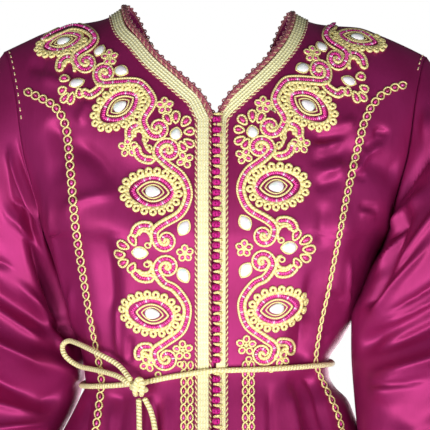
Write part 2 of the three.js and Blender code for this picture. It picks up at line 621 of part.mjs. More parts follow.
// ---- what lies on the panels -----------------------------------------------------------------------------------
/** The place on a panel's facets at x, z: its point, and its normal between the corners' normals. */
function onFacets(grid, x, z) {
  for (let j = 0; j < grid.length - 1; j += 1) {
    for (let i = 0; i < grid[0].length - 1; i += 1) {
      const corners = [grid[j][i], grid[j][i + 1], grid[j + 1][i + 1], grid[j + 1][i]];
      for (const [a, b, c] of [[0, 1, 2], [0, 2, 3]]) {
        const [p, q, r] = [corners[a], corners[b], corners[c]];
        const area = cross2(p.point, q.point, r.point.x, r.point.z);
        const wp = cross2(q.point, r.point, x, z) / area;
        const wq = cross2(r.point, p.point, x, z) / area;
        const wr = 1 - wp - wq;
        if (wp >= -1e-6 && wq >= -1e-6 && wr >= -1e-6) {
          const mix = (field) => vec(0, 0, 0).addScaledVector(p[field], wp)
            .addScaledVector(q[field], wq).addScaledVector(r[field], wr);
          return { point: mix('point'), normal: mix('normal').normalize() };
        }
      }
    }
  }
  throw new Error(`no cloth at ${x}, ${z}`);
}

const cross2 = (p, q, x, z) => (q.x - p.x) * (z - p.z) - (q.z - p.z) * (x - p.x);

/** Braid or chain as the cells between two columns of a front's grid, moved out. */
function columnTrim(name, grid, column, rows, lift) {
  return wall(name, GOLD, rows.map((j) => [grid[j][column], grid[j][column + 1]]), { thickness: TRIM, lift });
}

/** Points of the back's neckline, as side, share and level, from the wearer's right to the left. */
function backNeckline() {
  const stop = (side, part) => {
    const share = part * neckShare(side);
    return { side, share, level: backTop(side, share) };
  };
  const parts = [0.15, 0.3, 0.45, 0.6, 0.72, 0.82, 0.9, 0.96, 1];
  return [
    ...parts.map((part) => stop(WEARER[0], part)).reverse(), stop(WEARER[1], 0),
    ...parts.map((part) => stop(WEARER[1], part)),
  ];
}

/** The share and level that lie `reach` away from a stop of the back along a direction on its surface. */
function stepOnBack({ side, share, level }, direction, reach) {
  const step = 0.01;
  const l = Math.min(level, 1 - 2 * step);
  const across = onBack(side, share + step, l).point.sub(onBack(side, share, l).point).divideScalar(step);
  const up = onBack(side, share, l + step).point.sub(onBack(side, share, l).point).divideScalar(step);
  const [aa, au, uu] = [across.dot(across), across.dot(up), up.dot(up)];
  const [da, du] = [across.dot(direction) * reach, up.dot(direction) * reach];
  const size = aa * uu - au * au;
  const climb = level > 0.999 ? 0 : (aa * du - au * da) / size;
  const shift = level > 0.999 ? da / aa : (uu * da - au * du) / size;
  return onBack(side, share + shift, Math.min(level + climb, 1));
}

/** The braid round the back of the neck, from shoulder seam to shoulder seam. */
function backBraid() {
  const stops = backNeckline();
  const edge = stops.map(({ side, share, level }) => onBack(side, share, level));
  const rows = edge.map(({ normal }, k) => {
    const ahead = edge[Math.min(k + 1, edge.length - 1)].point;
    const behind = edge[Math.max(k - 1, 0)].point;
    const away = normal.clone().cross(ahead.clone().sub(behind)).normalize();
    const inset = BRAID_INSET.right.neck;
    return [inset, inset + BRAID_WIDTH / 2, inset + BRAID_WIDTH].map((reach) => stepOnBack(stops[k], away, reach));
  });
  return wall('braid_back', GOLD, rows, { thickness: TRIM, lift: 5 * LIFT });
}

/** A twisted cord all round the neck edge, open at the foot of the V. */
function neckCord(grids) {
  const away = 2 * LIFT + NECK_CORD_D / 2;
  const first = SKIRT_LEVELS.length + FRONT_LEVELS.findIndex((level) => level > NECK_LEVEL.right);
  const off = ({ point, normal }) => point.clone().addScaledVector(normal, away);
  const right = grids.right.slice(first).map((row) => off(row[0]));
  const left = grids.left.slice(first).map((row) => off(row[0])).reverse();
  const behind = backNeckline().slice(2, -2).map(({ side, share, level }) => off(onBack(side, share, level)));
  const points = [...right, ...behind, ...left];
  return strand('neck_cord', PLUM, points, Array(85).fill(NECK_CORD_D / 2), { sides: 6 });
}

/** A knotted-button strand down the centre between two heights. */
function buttonStrand(name, grid, fromZ, toZ) {
  const count = Math.floor((fromZ - toZ) / BUTTON_PITCH) + 1;
  const away = 2 * LIFT + TRIM + BUTTON_R;
  const points = [];
  const radii = [];
  for (let k = 0; k < count; k += 1) {
    for (const [dz, radius] of [[0, BUTTON_R], [BUTTON_PITCH / 2, BUTTON_WAIST_R]]) {
      const z = fromZ - k * BUTTON_PITCH - dz;
      const { point } = onFacets(grid, grid[0][0].point.x + 0.01, Math.max(z, HEM_Z + 1));
      points.push(vec(0.8, point.y - away, z));
      radii.push(radius);
    }
  }
  return beads(name, PLUM, points, radii, 5);
}

/** Beads on a nearly straight, upright run: a level ring at each point. */
function beads(name, finish, points, radii, sides) {
  const vertices = points.flatMap((centre, k) => Array.from({ length: sides }, (_, i) => {
    const turn = (2 * Math.PI * i) / sides;
    return vec(centre.x + radii[k] * Math.cos(turn), centre.y + radii[k] * Math.sin(turn), centre.z);
  }));
  const at = (k, i) => k * sides + (i % sides);
  const triangles = [];
  for (let k = 0; k < points.length - 1; k += 1) {
    for (let i = 0; i < sides; i += 1) {
      triangles.push([at(k, i), at(k, i + 1), at(k + 1, i + 1)], [at(k, i), at(k + 1, i + 1), at(k + 1, i)]);
    }
  }
  for (let i = 1; i < sides - 1; i += 1) {
    const end = points.length - 1;
    triangles.push([at(0, 0), at(0, i + 1), at(0, i)], [at(end, 0), at(end, i), at(end, i + 1)]);
  }
  return solid(name, finish, vertices, triangles);
}

/** A motif's place on a front: its own row, or mirrored and moved on the wearer's left. */
function motifPlace(side, motif) {
  const x = side.sign < 0 ? motif.x : -(motif.x) + motif.leftX;
  const z = side.sign < 0 ? motif.z : motif.z + motif.leftZ;
  return { x, z, tilt: THREE.MathUtils.degToRad(-side.sign * motif.tilt) };
}

/** An almond pad of couched cords, laid on the facets of a front. */
function medallion(name, side, grid, motif) {
  const place = motifPlace(side, motif);
  const lengths = [-1, -0.7, -0.35, 0, 0.35, 0.7, 1];
  const halfWide = (part) => motif.wide * Math.max(1 - Math.abs(part) ** 2.2, 0.07) ** 0.62;
  const rows = lengths.map((part) => [-1, -0.5, 0, 0.5, 1].map((across) => {
    const along = part * motif.long;
    const wide = across * halfWide(part);
    const x = place.x + along * Math.cos(place.tilt) - wide * Math.sin(place.tilt);
    const z = place.z + along * Math.sin(place.tilt) + wide * Math.cos(place.tilt);
    return onFacets(grid, x, z);
  }));
  return wall(name, GOLD, rows, { thickness: TRIM, lift: 2 * LIFT });
}

/** A cabochon: a low dome with a flat foot, seated `lift` off the facets of a front. */
function stone(name, grid, place, size, lift) {
  const seat = onFacets(grid, place.x, place.z);
  const profile = [[0, 0], [1, 0], [1, 0.3], [0.72, 0.78], [0, 1]].map(([r, h]) => new THREE.Vector2(r, h));
  const lathe = new THREE.LatheGeometry(profile, 8);
  const spots = lathe.getAttribute('position');
  const corners = Array.from({ length: spots.count }, (_, i) =>
    vec(spots.getX(i) * size.long, spots.getY(i) * STONE_RISE, spots.getZ(i) * size.wide));
  const index = Array.from(lathe.index.array);
  const triangles = Array.from({ length: index.length / 3 }, (_, i) => index.slice(3 * i, 3 * i + 3));
  const mesh = solid(name, PEARL, corners, triangles);
  const along = vec(Math.cos(place.tilt), 0, Math.sin(place.tilt));
  const up = seat.normal;
  along.addScaledVector(up, -along.dot(up)).normalize();
  mesh.quaternion.setFromRotationMatrix(new THREE.Matrix4().makeBasis(along, up, along.clone().cross(up)));
  mesh.position.copy(seat.point).addScaledVector(up, lift);
  return mesh;
}

// ---- belt --------------------------------------------------------------------------------------------------------
const BELT_LEVEL = (WAIST_Z - ARMPIT_Z) / (ARMPIT_Z - HEM_Z);
const BELT_STEPS = 60;

/** The belt's centre line round the waist, standing a little further off over the front's trim. */
function beltRing() {
  return Array.from({ length: BELT_STEPS }, (_, k) => {
    const angle = (2 * Math.PI * k) / BELT_STEPS;
    const side = Math.sin(angle) < 0 ? WEARER[0] : WEARER[1];
    const facing = Math.cos(angle) > 0 ? FRONT : BACK;
    const turn = Math.asin(clamp(Math.abs(Math.sin(angle)), 0, 1)) / (Math.PI / 2);
    const clear = ROPE_D / 2 + (facing === FRONT ? 1 + 1.6 * smooth((1 - turn) / 0.15) : 1);
    const { point, normal } = onBody(side, facing, turn, BELT_LEVEL);
    return point.addScaledVector(normal.setZ(0).normalize(), clear);
  });
}

/** A hanging end of the belt, lying on the skirt; its knot sits under it. */
function beltEnd(letter, grid) {
  const clear = ROPE_D / 2 + 2.4;
  const route = END_ROUTES[letter].map(({ x, z }) => {
    const { point } = onFacets(grid, x, z);
    return vec(x, point.y - clear, z);
  });
  const tip = route.at(-1);
  const knotSeat = onFacets(grid, tip.x, tip.z - END_KNOT_R).point;
  const knot = ball(`belt_end_${letter}_knot`, END_KNOT_R, vec(tip.x, Math.min(tip.y, knotSeat.y - END_KNOT_R - 1),
    tip.z - END_KNOT_R * 1.25 - 0.6), [1, 1, 1.25]);
  return [evenRope(`belt_end_${letter}`, route, 25), knot];
}

function ball(name, radius, centre, scale) {
  const sphere = new THREE.SphereGeometry(radius, 10, 7);
  const spots = sphere.getAttribute('position');
  const corners = Array.from({ length: spots.count }, (_, i) =>
    vec(spots.getX(i) * scale[0], spots.getY(i) * scale[1], spots.getZ(i) * scale[2]));
  const index = Array.from(sphere.index.array);
  const triangles = Array.from({ length: index.length / 3 }, (_, i) => index.slice(3 * i, 3 * i + 3));
  const mesh = solid(name, ROPE, corners, triangles);
  mesh.position.copy(centre);
  return mesh;
}

// ---- assembly -------------------------------------------------------------------------------------------------------
const garment = new THREE.Group();
const grids = { right: frontGrid(WEARER[0]), left: frontGrid(WEARER[1]) };
const everyRow = grids.right.map((_, j) => j);
const chainRows = everyRow.slice(0, SKIRT_LEVELS.length + FRONT_LEVELS.filter((l) => l < CHAIN_TOP_LEVEL).length);

for (const side of WEARER) {
  const grid = grids[side.name];
  garment.add(wall(`front_${side.name}`, SATIN, grid));
  garment.add(wall(`sleeve_${side.name}`, SATIN, sleeveGrid(side), { loop: true }));
  garment.add(columnTrim(`braid_${side.name}`, grid, COLUMN.braid, everyRow, LIFT));
  garment.add(columnTrim(`chain_${side.name}`, grid, COLUMN.chain, chainRows, 2 * LIFT));
  MEDALLIONS.forEach((motif, k) => {
    garment.add(medallion(`medallion_${side.name}_${k + 1}`, side, grid, motif));
    const place = motifPlace(side, motif);
    garment.add(stone(`stone_${side.name}_${k + 1}`, grid, place, MEDALLION_STONE, 2 * LIFT + TRIM + 0.6));
  });
  STONES.forEach((motif, k) => {
    const name = `stone_${side.name}_${MEDALLIONS.length + k + 1}`;
    garment.add(stone(name, grid, motifPlace(side, motif), motif, 3 * LIFT));
  });
}
garment.add(wall('back', SATIN, backGrid()), backBraid());
garment.add(neckCord(grids));
const beltRoom = ROPE_D / 2 + BUTTON_R + 1;
garment.add(buttonStrand('buttons_upper', grids.left, FIRST_BUTTON_Z, WAIST_Z + beltRoom + BUTTON_PITCH / 2));
garment.add(buttonStrand('buttons_lower', grids.left, WAIST_Z - beltRoom, LAST_BUTTON_Z));

garment.add(evenRope('belt_band', beltRing(), BELT_STEPS, { closed: true }));
const knotFront = onFacets(grids.right, KNOT_X, beltZ(KNOT_X)).point;
garment.add(ball('belt_knot', 8, vec(KNOT_X, knotFront.y - 17.5, beltZ(KNOT_X) - 2), [0.95, 0.95, 1.2]));
garment.add(evenRope('belt_loop', LOOP_ROUTE.map(({ x, y, z }) => vec(x, y, z)), 29));
for (const letter of ['a', 'b']) garment.add(...beltEnd(letter, grids.right));

export default garment;
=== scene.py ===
"""A satin kaftan tunic with couched gold work and a tied rope belt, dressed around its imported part."""

import logging
import math
from collections.abc import Sequence
from dataclasses import dataclass, field
from enum import Enum
from functools import lru_cache, partial
from typing import NamedTuple

import bmesh
import bpy
import numpy as np
from mathutils import Matrix, Vector
from mathutils.bvhtree import BVHTree


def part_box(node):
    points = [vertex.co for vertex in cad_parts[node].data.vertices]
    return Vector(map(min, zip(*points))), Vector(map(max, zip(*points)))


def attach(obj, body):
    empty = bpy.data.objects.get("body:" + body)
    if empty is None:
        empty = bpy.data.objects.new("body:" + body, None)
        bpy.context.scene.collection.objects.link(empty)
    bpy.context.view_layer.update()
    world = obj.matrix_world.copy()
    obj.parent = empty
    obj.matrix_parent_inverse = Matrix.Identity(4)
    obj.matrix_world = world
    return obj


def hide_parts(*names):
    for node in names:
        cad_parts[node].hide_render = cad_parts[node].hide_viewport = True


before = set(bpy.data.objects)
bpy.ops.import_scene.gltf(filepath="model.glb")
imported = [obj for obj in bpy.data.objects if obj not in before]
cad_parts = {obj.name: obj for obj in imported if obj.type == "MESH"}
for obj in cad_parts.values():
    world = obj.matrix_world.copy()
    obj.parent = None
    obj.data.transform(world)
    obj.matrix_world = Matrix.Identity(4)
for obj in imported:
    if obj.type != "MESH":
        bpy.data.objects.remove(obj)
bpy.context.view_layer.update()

LOG = logging.getLogger("tunic")
Array = np.ndarray
Socket = bpy.types.NodeSocket
Piece = bpy.types.Object
Spot = tuple[float, float]
Point = tuple[float, float, float]
CIRCLE = 2 * math.pi

# ---- driving sizes, in metres ----
MM = 0.001
CLOTH = 0.0015                 # wall of the satin panels
SEAM = 0.0003                  # left open between neighbouring panels
ARMPIT_Z = -0.215
HEM_Z = -1.0
SKIRT = ARMPIT_Z - HEM_Z       # from the armpit's level down to the hem
WAIST_Z = -0.356               # where the rope belt draws the cloth in
BELT_LINE = (                  # places across, and how far above the waist the belt lies there
    (-0.145, -0.0174), (-0.077, -0.0092), (-0.040, -0.0015), (0.0, 0.0042), (0.056, 0.0056), (0.102, 0.0070),
    (0.125, 0.0064),
)
BELT_REACH = 0.07
ROUND = 2.3                    # exponent of the body's oval rings
CHEST_HALF = 0.178
YOKE_SPREAD = 0.062
SHOULDER_X = 0.222
NECK_LEVEL = 0.27              # level of the foot of the V, where the fronts part
SCOOP_DEPTH = 0.68             # how low the back neckline comes
SCOOP_FULLNESS = 0.62
SLEEVE_LENGTH = 0.62
ARMHOLE_EASE = 0.13            # the armhole's own outline fades out of the sleeve over this length
ARMHOLE_SHIFT = 0.0005
SLEEVE_GIRTH = 0.48
ROPE_D = 0.0055
BUTTON_PITCH = 0.0105
FIRST_BUTTON_Z = -0.099
LAST_BUTTON_Z = -0.985
EYE = Vector((-0.0005, -2.515, -0.195))        # where the garment is looked at from
CHEST_Y = -0.115                               # the plane of the chest, which fills the frame's width
FRAME_WIDTH = 0.43
IN_FRONT = -0.4                                # a plane in front of all the cloth


class Side(Enum):
    """One of the wearer's two sides; its value is the sign of x there."""

    RIGHT = -1
    LEFT = 1

    @property
    def tag(self) -> str:
        """The side as the names of nodes have it."""
        return self.name.lower()


class Facing(Enum):
    """The front or the back of the body; its value is the sign of y there."""

    FRONT = -1
    BACK = 1


# ---- the form's tables ----
class Ring(NamedTuple):
    """A body ring: its height, its half widths, and how far the front and back stand off the middle."""

    z: float
    right: float
    left: float
    front: float
    back: float


class Pair(NamedTuple):
    """A measure on both sides at one height, or at one distance from the middle."""

    at: float
    right: float
    left: float


class Cuff(NamedTuple):
    """A sleeve ring: how far down, its upper outer and lower inner ends, half depth and swing."""

    down: float
    out_x: float
    out_z: float
    in_x: float
    in_z: float
    deep: float
    swing: float


class Flute(NamedTuple):
    """A soft ridge (+) or hollow (-) of the skirt that opens from its top down to the hem."""

    turn: float
    half: float
    rise: float
    top: float


RINGS = (
    Ring(-0.215, 0.178, 0.178, 0.125, 0.105),
    Ring(-0.240, 0.1695, 0.168, 0.121, 0.102),
    Ring(-0.270, 0.159, 0.160, 0.115, 0.098),
    Ring(-0.300, 0.149, 0.148, 0.107, 0.092),
    Ring(-0.330, 0.139, 0.132, 0.099, 0.087),
    Ring(-0.356, 0.136, 0.118, 0.094, 0.084),
    Ring(-0.370, 0.142, 0.119, 0.096, 0.087),
    Ring(-0.392, 0.151, 0.134, 0.101, 0.094),
    Ring(-0.415, 0.157, 0.143, 0.106, 0.102),
    Ring(-0.450, 0.166, 0.160, 0.112, 0.112),
    Ring(-0.520, 0.181, 0.180, 0.121, 0.126),
    Ring(-0.640, 0.207, 0.206, 0.137, 0.142),
    Ring(-0.800, 0.238, 0.238, 0.158, 0.162),
    Ring(-1.000, 0.275, 0.275, 0.184, 0.188),
)
RIDGE = (
    Pair(0, 0.040, 0.030), Pair(0.080, 0.029, 0.0155), Pair(0.095, 0.022, 0.0085),
    Pair(0.107, 0.014, 0.005), Pair(0.122, 0.0085, 0.0032), Pair(0.148, 0.004, 0.0015),
    Pair(0.175, -0.003, -0.008), Pair(0.200, -0.0140, -0.019), Pair(0.222, -0.0245, -0.030),
)
NECK = (
    Pair(-0.095, 0.00015, 0.00015), Pair(-0.085, 0.006, 0.0055), Pair(-0.073, 0.015, 0.015),
    Pair(-0.062, 0.027, 0.0265), Pair(-0.050, 0.0405, 0.0395), Pair(-0.031, 0.061, 0.0575),
    Pair(-0.014, 0.075, 0.07), Pair(0.005, 0.09, 0.078), Pair(0.022, 0.095, 0.081),
)
ARMHOLE = (
    (0.0, 0.178), (0.03, 0.1795), (0.09, 0.1825), (0.18, 0.190), (0.27, 0.197), (0.36, 0.201),
    (0.48, 0.205), (0.7, 0.213), (1.0, 0.222),
)
CHAIN_LINE = (
    Pair(-1.000, 0.205, 0.208), Pair(-0.520, 0.134, 0.142), Pair(-0.410, 0.121, 0.128),
    Pair(-0.390, 0.1185, 0.121), Pair(-0.365, 0.116, 0.109), Pair(-0.345, 0.119, 0.102),
    Pair(-0.310, 0.126, 0.106), Pair(-0.270, 0.132, 0.114), Pair(-0.220, 0.139, 0.123),
    Pair(-0.170, 0.144, 0.133), Pair(-0.130, 0.148, 0.143), Pair(-0.105, 0.151, 0.149),
)
CHAIN_TOP = {                  # the chain's slanting start, from below the shoulder towards the middle
    Side.RIGHT: ((-0.1955, -0.0668), (-0.1880, -0.071), (-0.1800, -0.0745), (-0.1720, -0.0785),
                 (-0.1635, -0.084), (-0.1565, -0.0935)),
    Side.LEFT: ((0.1960, -0.0610), (0.1870, -0.0630), (0.1785, -0.0665), (0.1705, -0.0715), (0.1635, -0.0785),
                (0.1565, -0.088)),
}
CHAIN_HALF = {                 # heights, and half the chain's width there
    Side.RIGHT: ((-1.0, 0.0034), (-0.45, 0.0034), (-0.36, 0.0031), (-0.32, 0.0024), (-0.28, 0.0030),
                 (-0.23, 0.0037), (0.0, 0.0039)),
    Side.LEFT: ((-1.0, 0.0034), (-0.45, 0.0030), (-0.38, 0.0022), (-0.30, 0.0013), (-0.22, 0.0021),
                (-0.14, 0.0034), (0.0, 0.0037)),
}
FLUTES = {
    (Facing.FRONT, Side.RIGHT): (
        Flute(0.30, 0.085, 0.011, -0.470), Flute(0.45, 0.075, -0.012, -0.400),
        Flute(0.61, 0.080, 0.015, -0.420), Flute(0.79, 0.070, -0.013, -0.390),
    ),
    (Facing.FRONT, Side.LEFT): (
        Flute(0.26, 0.075, -0.010, -0.430), Flute(0.41, 0.080, 0.014, -0.400),
        Flute(0.58, 0.070, -0.013, -0.380), Flute(0.76, 0.085, 0.013, -0.440),
    ),
    (Facing.BACK, Side.RIGHT): (
        Flute(0.14, 0.080, -0.013, -0.390), Flute(0.34, 0.090, 0.015, -0.420),
        Flute(0.53, 0.080, -0.014, -0.400), Flute(0.74, 0.090, 0.014, -0.430),
    ),
    (Facing.BACK, Side.LEFT): (
        Flute(0.10, 0.080, 0.014, -0.430), Flute(0.29, 0.085, -0.014, -0.400),
        Flute(0.50, 0.090, 0.016, -0.410), Flute(0.70, 0.085, -0.013, -0.390),
    ),
}
SLEEVE_RINGS = {
    Side.RIGHT: (
        Cuff(0, 0.222, -0.0255, 0.1784, -0.215, 0.052, 0),
        Cuff(0.045, 0.248, -0.061, 0.1738, -0.229, 0.060, 0.012),
        Cuff(0.095, 0.270, -0.114, 0.165, -0.247, 0.066, 0.021),
        Cuff(0.150, 0.285, -0.178, 0.154, -0.272, 0.069, 0.033),
        Cuff(0.210, 0.293, -0.240, 0.1445, -0.300, 0.069, 0.040),
        Cuff(0.280, 0.301, -0.315, 0.134, -0.338, 0.070, 0.042),
        Cuff(0.350, 0.311, -0.382, 0.1435, -0.385, 0.072, 0.038),
        Cuff(0.420, 0.323, -0.450, 0.165, -0.430, 0.074, 0.024),
        Cuff(0.520, 0.345, -0.548, 0.200, -0.522, 0.078, 0),
        Cuff(0.620, 0.370, -0.645, 0.222, -0.612, 0.082, -0.012),
    ),
    Side.LEFT: (
        Cuff(0, 0.222, -0.031, 0.1784, -0.215, 0.052, 0),
        Cuff(0.045, 0.248, -0.070, 0.173, -0.229, 0.060, -0.014),
        Cuff(0.095, 0.270, -0.122, 0.161, -0.248, 0.066, -0.038),
        Cuff(0.150, 0.284, -0.178, 0.1505, -0.272, 0.069, -0.045),
        Cuff(0.210, 0.292, -0.240, 0.140, -0.300, 0.069, -0.042),
        Cuff(0.280, 0.299, -0.315, 0.1405, -0.338, 0.069, -0.032),
        Cuff(0.350, 0.308, -0.382, 0.1435, -0.385, 0.071, -0.036),
        Cuff(0.420, 0.321, -0.450, 0.148, -0.432, 0.074, -0.048),
        Cuff(0.520, 0.345, -0.548, 0.188, -0.524, 0.078, -0.040),
        Cuff(0.620, 0.370, -0.645, 0.222, -0.612, 0.082, -0.020),
    ),
}

# ---- creases ----
@dataclass(frozen=True)
class Fold:
    """One crease along a run of points, as a ridge (+) or a hollow (-) of the cloth.

    Attributes:
        run: the points it goes through, in the surface's own two measures.
        half: half its width.
        rise: how far it lifts the cloth at its middle.
        crisp: True for a narrow crest with long sides, False for a round one.
        fade: the share of its length over which each end dies away.
    """

    run: tuple[Spot, ...]
    half: float
    rise: float
    crisp: bool = False
    fade: float = 0.3

    def lift(self, a: Array, b: Array) -> Array:
        """How far the crease lifts each place.

        Args:
            a: first measure of the places.
            b: second measure of the places.

        Returns:
            The lift at each place, in metres.
        """
        path = flowing(np.array(self.run), 6)
        reach = 3.2 * self.half
        low, high = path.min(0) - reach, path.max(0) + reach
        near = (a > low[0]) & (a < high[0]) & (b > low[1]) & (b < high[1])
        lift = np.zeros(np.shape(a))
        if not near.any():
            return lift
        spots = np.stack([a[near], b[near]], axis=-1)
        away, share = np.full(len(spots), np.inf), np.zeros(len(spots))
        for k, (start, end) in enumerate(zip(path, path[1:])):
            step = end - start
            t = np.clip((spots - start) @ step / (step @ step), 0, 1)
            distance = np.linalg.norm(spots - start - t[:, None] * step, axis=1)
            share = np.where(distance < away, (k + t) / (len(path) - 1), share)
            away = np.minimum(distance, away)
        form = np.exp(-((away / self.half) ** 2))
        if self.crisp:
            tip = 0.3 * self.half
            form = np.exp(-(np.hypot(away, tip) - tip) / (0.62 * self.half))
        if self.fade > 0:
            form = form * eased(share / self.fade) * eased((1 - share) / self.fade)
        lift[near] = self.rise * form
        return lift


def straight(x0: float, z0: float, x1: float, z1: float, half: float, rise: float) -> Fold:
    """A large crease of the solid form, from one end to the other without dying away.

    Args:
        x0, z0: where it starts.
        x1, z1: where it ends.
        half: half its width.
        rise: how far it lifts the cloth.

    Returns:
        The crease.
    """
    return Fold(((x0, z0), (x1, z1)), half, rise, fade=0)


def soft(half: float, rise: float, *run: Spot) -> Fold:
    """A round crease, given in millimetres."""
    return Fold(tuple((a * MM, b * MM) for a, b in run), half * MM, rise * MM)


def crisp(half: float, rise: float, *run: Spot) -> Fold:
    """A crease with a narrow crest, given in millimetres."""
    return Fold(tuple((a * MM, b * MM) for a, b in run), half * MM, rise * MM, crisp=True)


BODY_CREASES = {
    Facing.FRONT: (
        straight(-0.170, -0.190, -0.070, -0.218, 0.026, 0.0045),
        straight(-0.150, -0.115, -0.085, -0.150, 0.020, -0.0035),
        straight(0.165, -0.190, 0.075, -0.222, 0.026, 0.0045),
        straight(-0.112, -0.225, -0.106, -0.340, 0.012, -0.0034),
        straight(-0.086, -0.230, -0.088, -0.345, 0.014, 0.0016),
        straight(0.088, -0.310, 0.084, -0.345, 0.010, -0.006),
        straight(0.108, -0.118, 0.178, -0.150, 0.013, -0.004),
        straight(0.088, -0.368, 0.108, -0.430, 0.012, -0.006),
        straight(-0.100, -0.380, -0.112, -0.450, 0.012, -0.006),
    ),
    Facing.BACK: (
        straight(-0.070, -0.225, -0.058, -0.345, 0.015, -0.006),
        straight(0.074, -0.240, 0.062, -0.345, 0.015, -0.006),
        straight(-0.020, -0.170, -0.110, -0.120, 0.016, -0.004),
        straight(0.030, -0.190, 0.120, -0.140, 0.016, -0.004),
    ),
}
SLEEVE_CREASES = {             # measured round the arm, in parts of a turn, and down it
    Side.RIGHT: (
        (0.16, 0.215, 0.40, 0.250, 0.017, -0.008), (0.14, 0.268, 0.42, 0.318, 0.016, 0.008),
        (0.12, 0.300, 0.36, 0.356, 0.017, -0.009), (0.33, 0.080, 0.39, 0.210, 0.014, -0.010),
        (0.62, 0.235, 0.84, 0.275, 0.020, -0.008), (0.60, 0.340, 0.86, 0.300, 0.020, 0.007),
        (0.10, 0.430, 0.40, 0.470, 0.022, -0.007), (0.60, 0.470, 0.90, 0.420, 0.022, -0.007),
    ),
    Side.LEFT: (
        (0.12, 0.205, 0.40, 0.262, 0.017, -0.008), (0.10, 0.245, 0.36, 0.330, 0.018, 0.008),
        (0.10, 0.290, 0.30, 0.380, 0.017, -0.008), (0.34, 0.062, 0.40, 0.182, 0.016, -0.0065),
        (0.60, 0.250, 0.84, 0.230, 0.020, -0.008), (0.62, 0.310, 0.88, 0.340, 0.020, 0.007),
        (0.12, 0.450, 0.38, 0.430, 0.022, -0.007), (0.60, 0.430, 0.88, 0.480, 0.022, -0.007),
    ),
}


# ---- helpers ----
def eased(share: Array | float) -> Array:
    """A soft step from 0 to 1 as its argument goes from 0 to 1."""
    t = np.clip(share, 0.0, 1.0)
    return t * t * (3 - 2 * t)


def flowing(points: Sequence[Sequence[float]] | Array, parts: int) -> Array:
    """A flowing line through points.

    Args:
        points: the points, in two or three measures.
        parts: how many steps to take from each point to the next.

    Returns:
        The line's places, the points among them.
    """
    stops = np.array(points, dtype=float)
    ends = np.concatenate([2 * stops[:1] - stops[1:2], stops, 2 * stops[-1:] - stops[-2:-1]])
    share = np.arange(parts)[:, None] / parts
    runs = []
    for p, q, r, s in zip(ends, ends[1:], ends[2:], ends[3:]):
        bend = 2 * p - 5 * q + 4 * r - s
        runs.append(0.5 * (2 * q + (r - p) * share + bend * share**2 + (3 * q - p - 3 * r + s) * share**3))
    return np.concatenate([*runs, stops[-1:]])


def reached(path: Array) -> Array:
    """How far along a path each of its places lies."""
    return np.concatenate([[0], np.cumsum(np.linalg.norm(np.diff(path, axis=0), axis=1))])


def evened(path: Array, step: float) -> Array:
    """The same line with evenly spaced places.

    Args:
        path: places along the line.
        step: the spacing aimed at.

    Returns:
        Evenly spaced places with the line's own ends.
    """
    along = reached(path)
    at = np.linspace(0, along[-1], max(2, round(along[-1] / step)) + 1)
    return np.stack([np.interp(at, along, column) for column in path.T], axis=1)


def smoothed(path: Array, rounds: int) -> Array:
    """Draws a path's places towards their neighbours; its ends stay.

    Args:
        path: the places, which are changed.
        rounds: how often it is done.

    Returns:
        The same path.
    """
    for _ in range(rounds):
        path[1:-1] = (path[:-2] + 2 * path[1:-1] + path[2:]) / 4
    return path


def headed(path: Array, rounds: int) -> Array:
    """The directions along a path, evened out with their neighbours.

    Args:
        path: its places.
        rounds: how often it is done.

    Returns:
        A direction for each place.
    """
    along = unit(np.gradient(path, axis=0))
    for _ in range(rounds):
        along[1:-1] = unit(along[:-2] + along[1:-1] + along[2:])
    return along


def paired(first: Array, second: Array) -> Array:
    """Two measures spread over one grid and put side by side."""
    return np.stack(np.broadcast_arrays(first, second), axis=-1)


def spun(places: Array, turn: float) -> Array:
    """The first two measures of places, turned about their middle."""
    (a, b), c, s = places.T[:2], math.cos(turn), math.sin(turn)
    return np.stack([a * c - b * s, a * s + b * c], axis=1)


def unit(vectors: Array) -> Array:
    """The same directions with a length of one."""
    return vectors / np.maximum(np.linalg.norm(vectors, axis=-1, keepdims=True), 1e-12)


class Profile:
    """A smooth curve without overshoot through a table's column, level beyond its ends."""

    def __init__(self, at: Sequence[float], value: Sequence[float]) -> None:
        """Fits the curve.

        Args:
            at: where the values stand, in any order.
            value: the values.
        """
        order = np.argsort(at)
        self.at, self.value = np.array(at)[order], np.array(value)[order]
        rise = np.diff(self.value) / np.diff(self.at)
        product, total = rise[:-1] * rise[1:], rise[:-1] + rise[1:]
        inner = np.where(product > 0, 2 * product / np.where(product > 0, total, 1), 0)
        self.slope = np.concatenate([rise[:1], inner, rise[-1:]])

    def __call__(self, at: Array | float) -> Array:
        """The curve's height.

        Args:
            at: where it is asked for.

        Returns:
            The value there.
        """
        x = np.clip(at, self.at[0], self.at[-1])
        i = np.clip(np.searchsorted(self.at, x) - 1, 0, len(self.at) - 2)
        span = self.at[i + 1] - self.at[i]
        t = (x - self.at[i]) / span
        u = 1 - t
        return (self.value[i] * (1 + 2 * t) * u * u + self.value[i + 1] * (3 - 2 * t) * t * t
                + span * (self.slope[i] * t * u * u - self.slope[i + 1] * t * t * u))


BELT_RISE = Profile(*zip(*BELT_LINE))


def by_side(rows: Sequence[Pair | Ring], key: str) -> dict[Side, Profile]:
    """The right and left columns of a table as curves over its key column.

    Args:
        rows: the table.
        key: the key column's name.

    Returns:
        A curve for each side.
    """
    at = [getattr(row, key) for row in rows]
    return {side: Profile(at, [getattr(row, side.tag) for row in rows]) for side in Side}


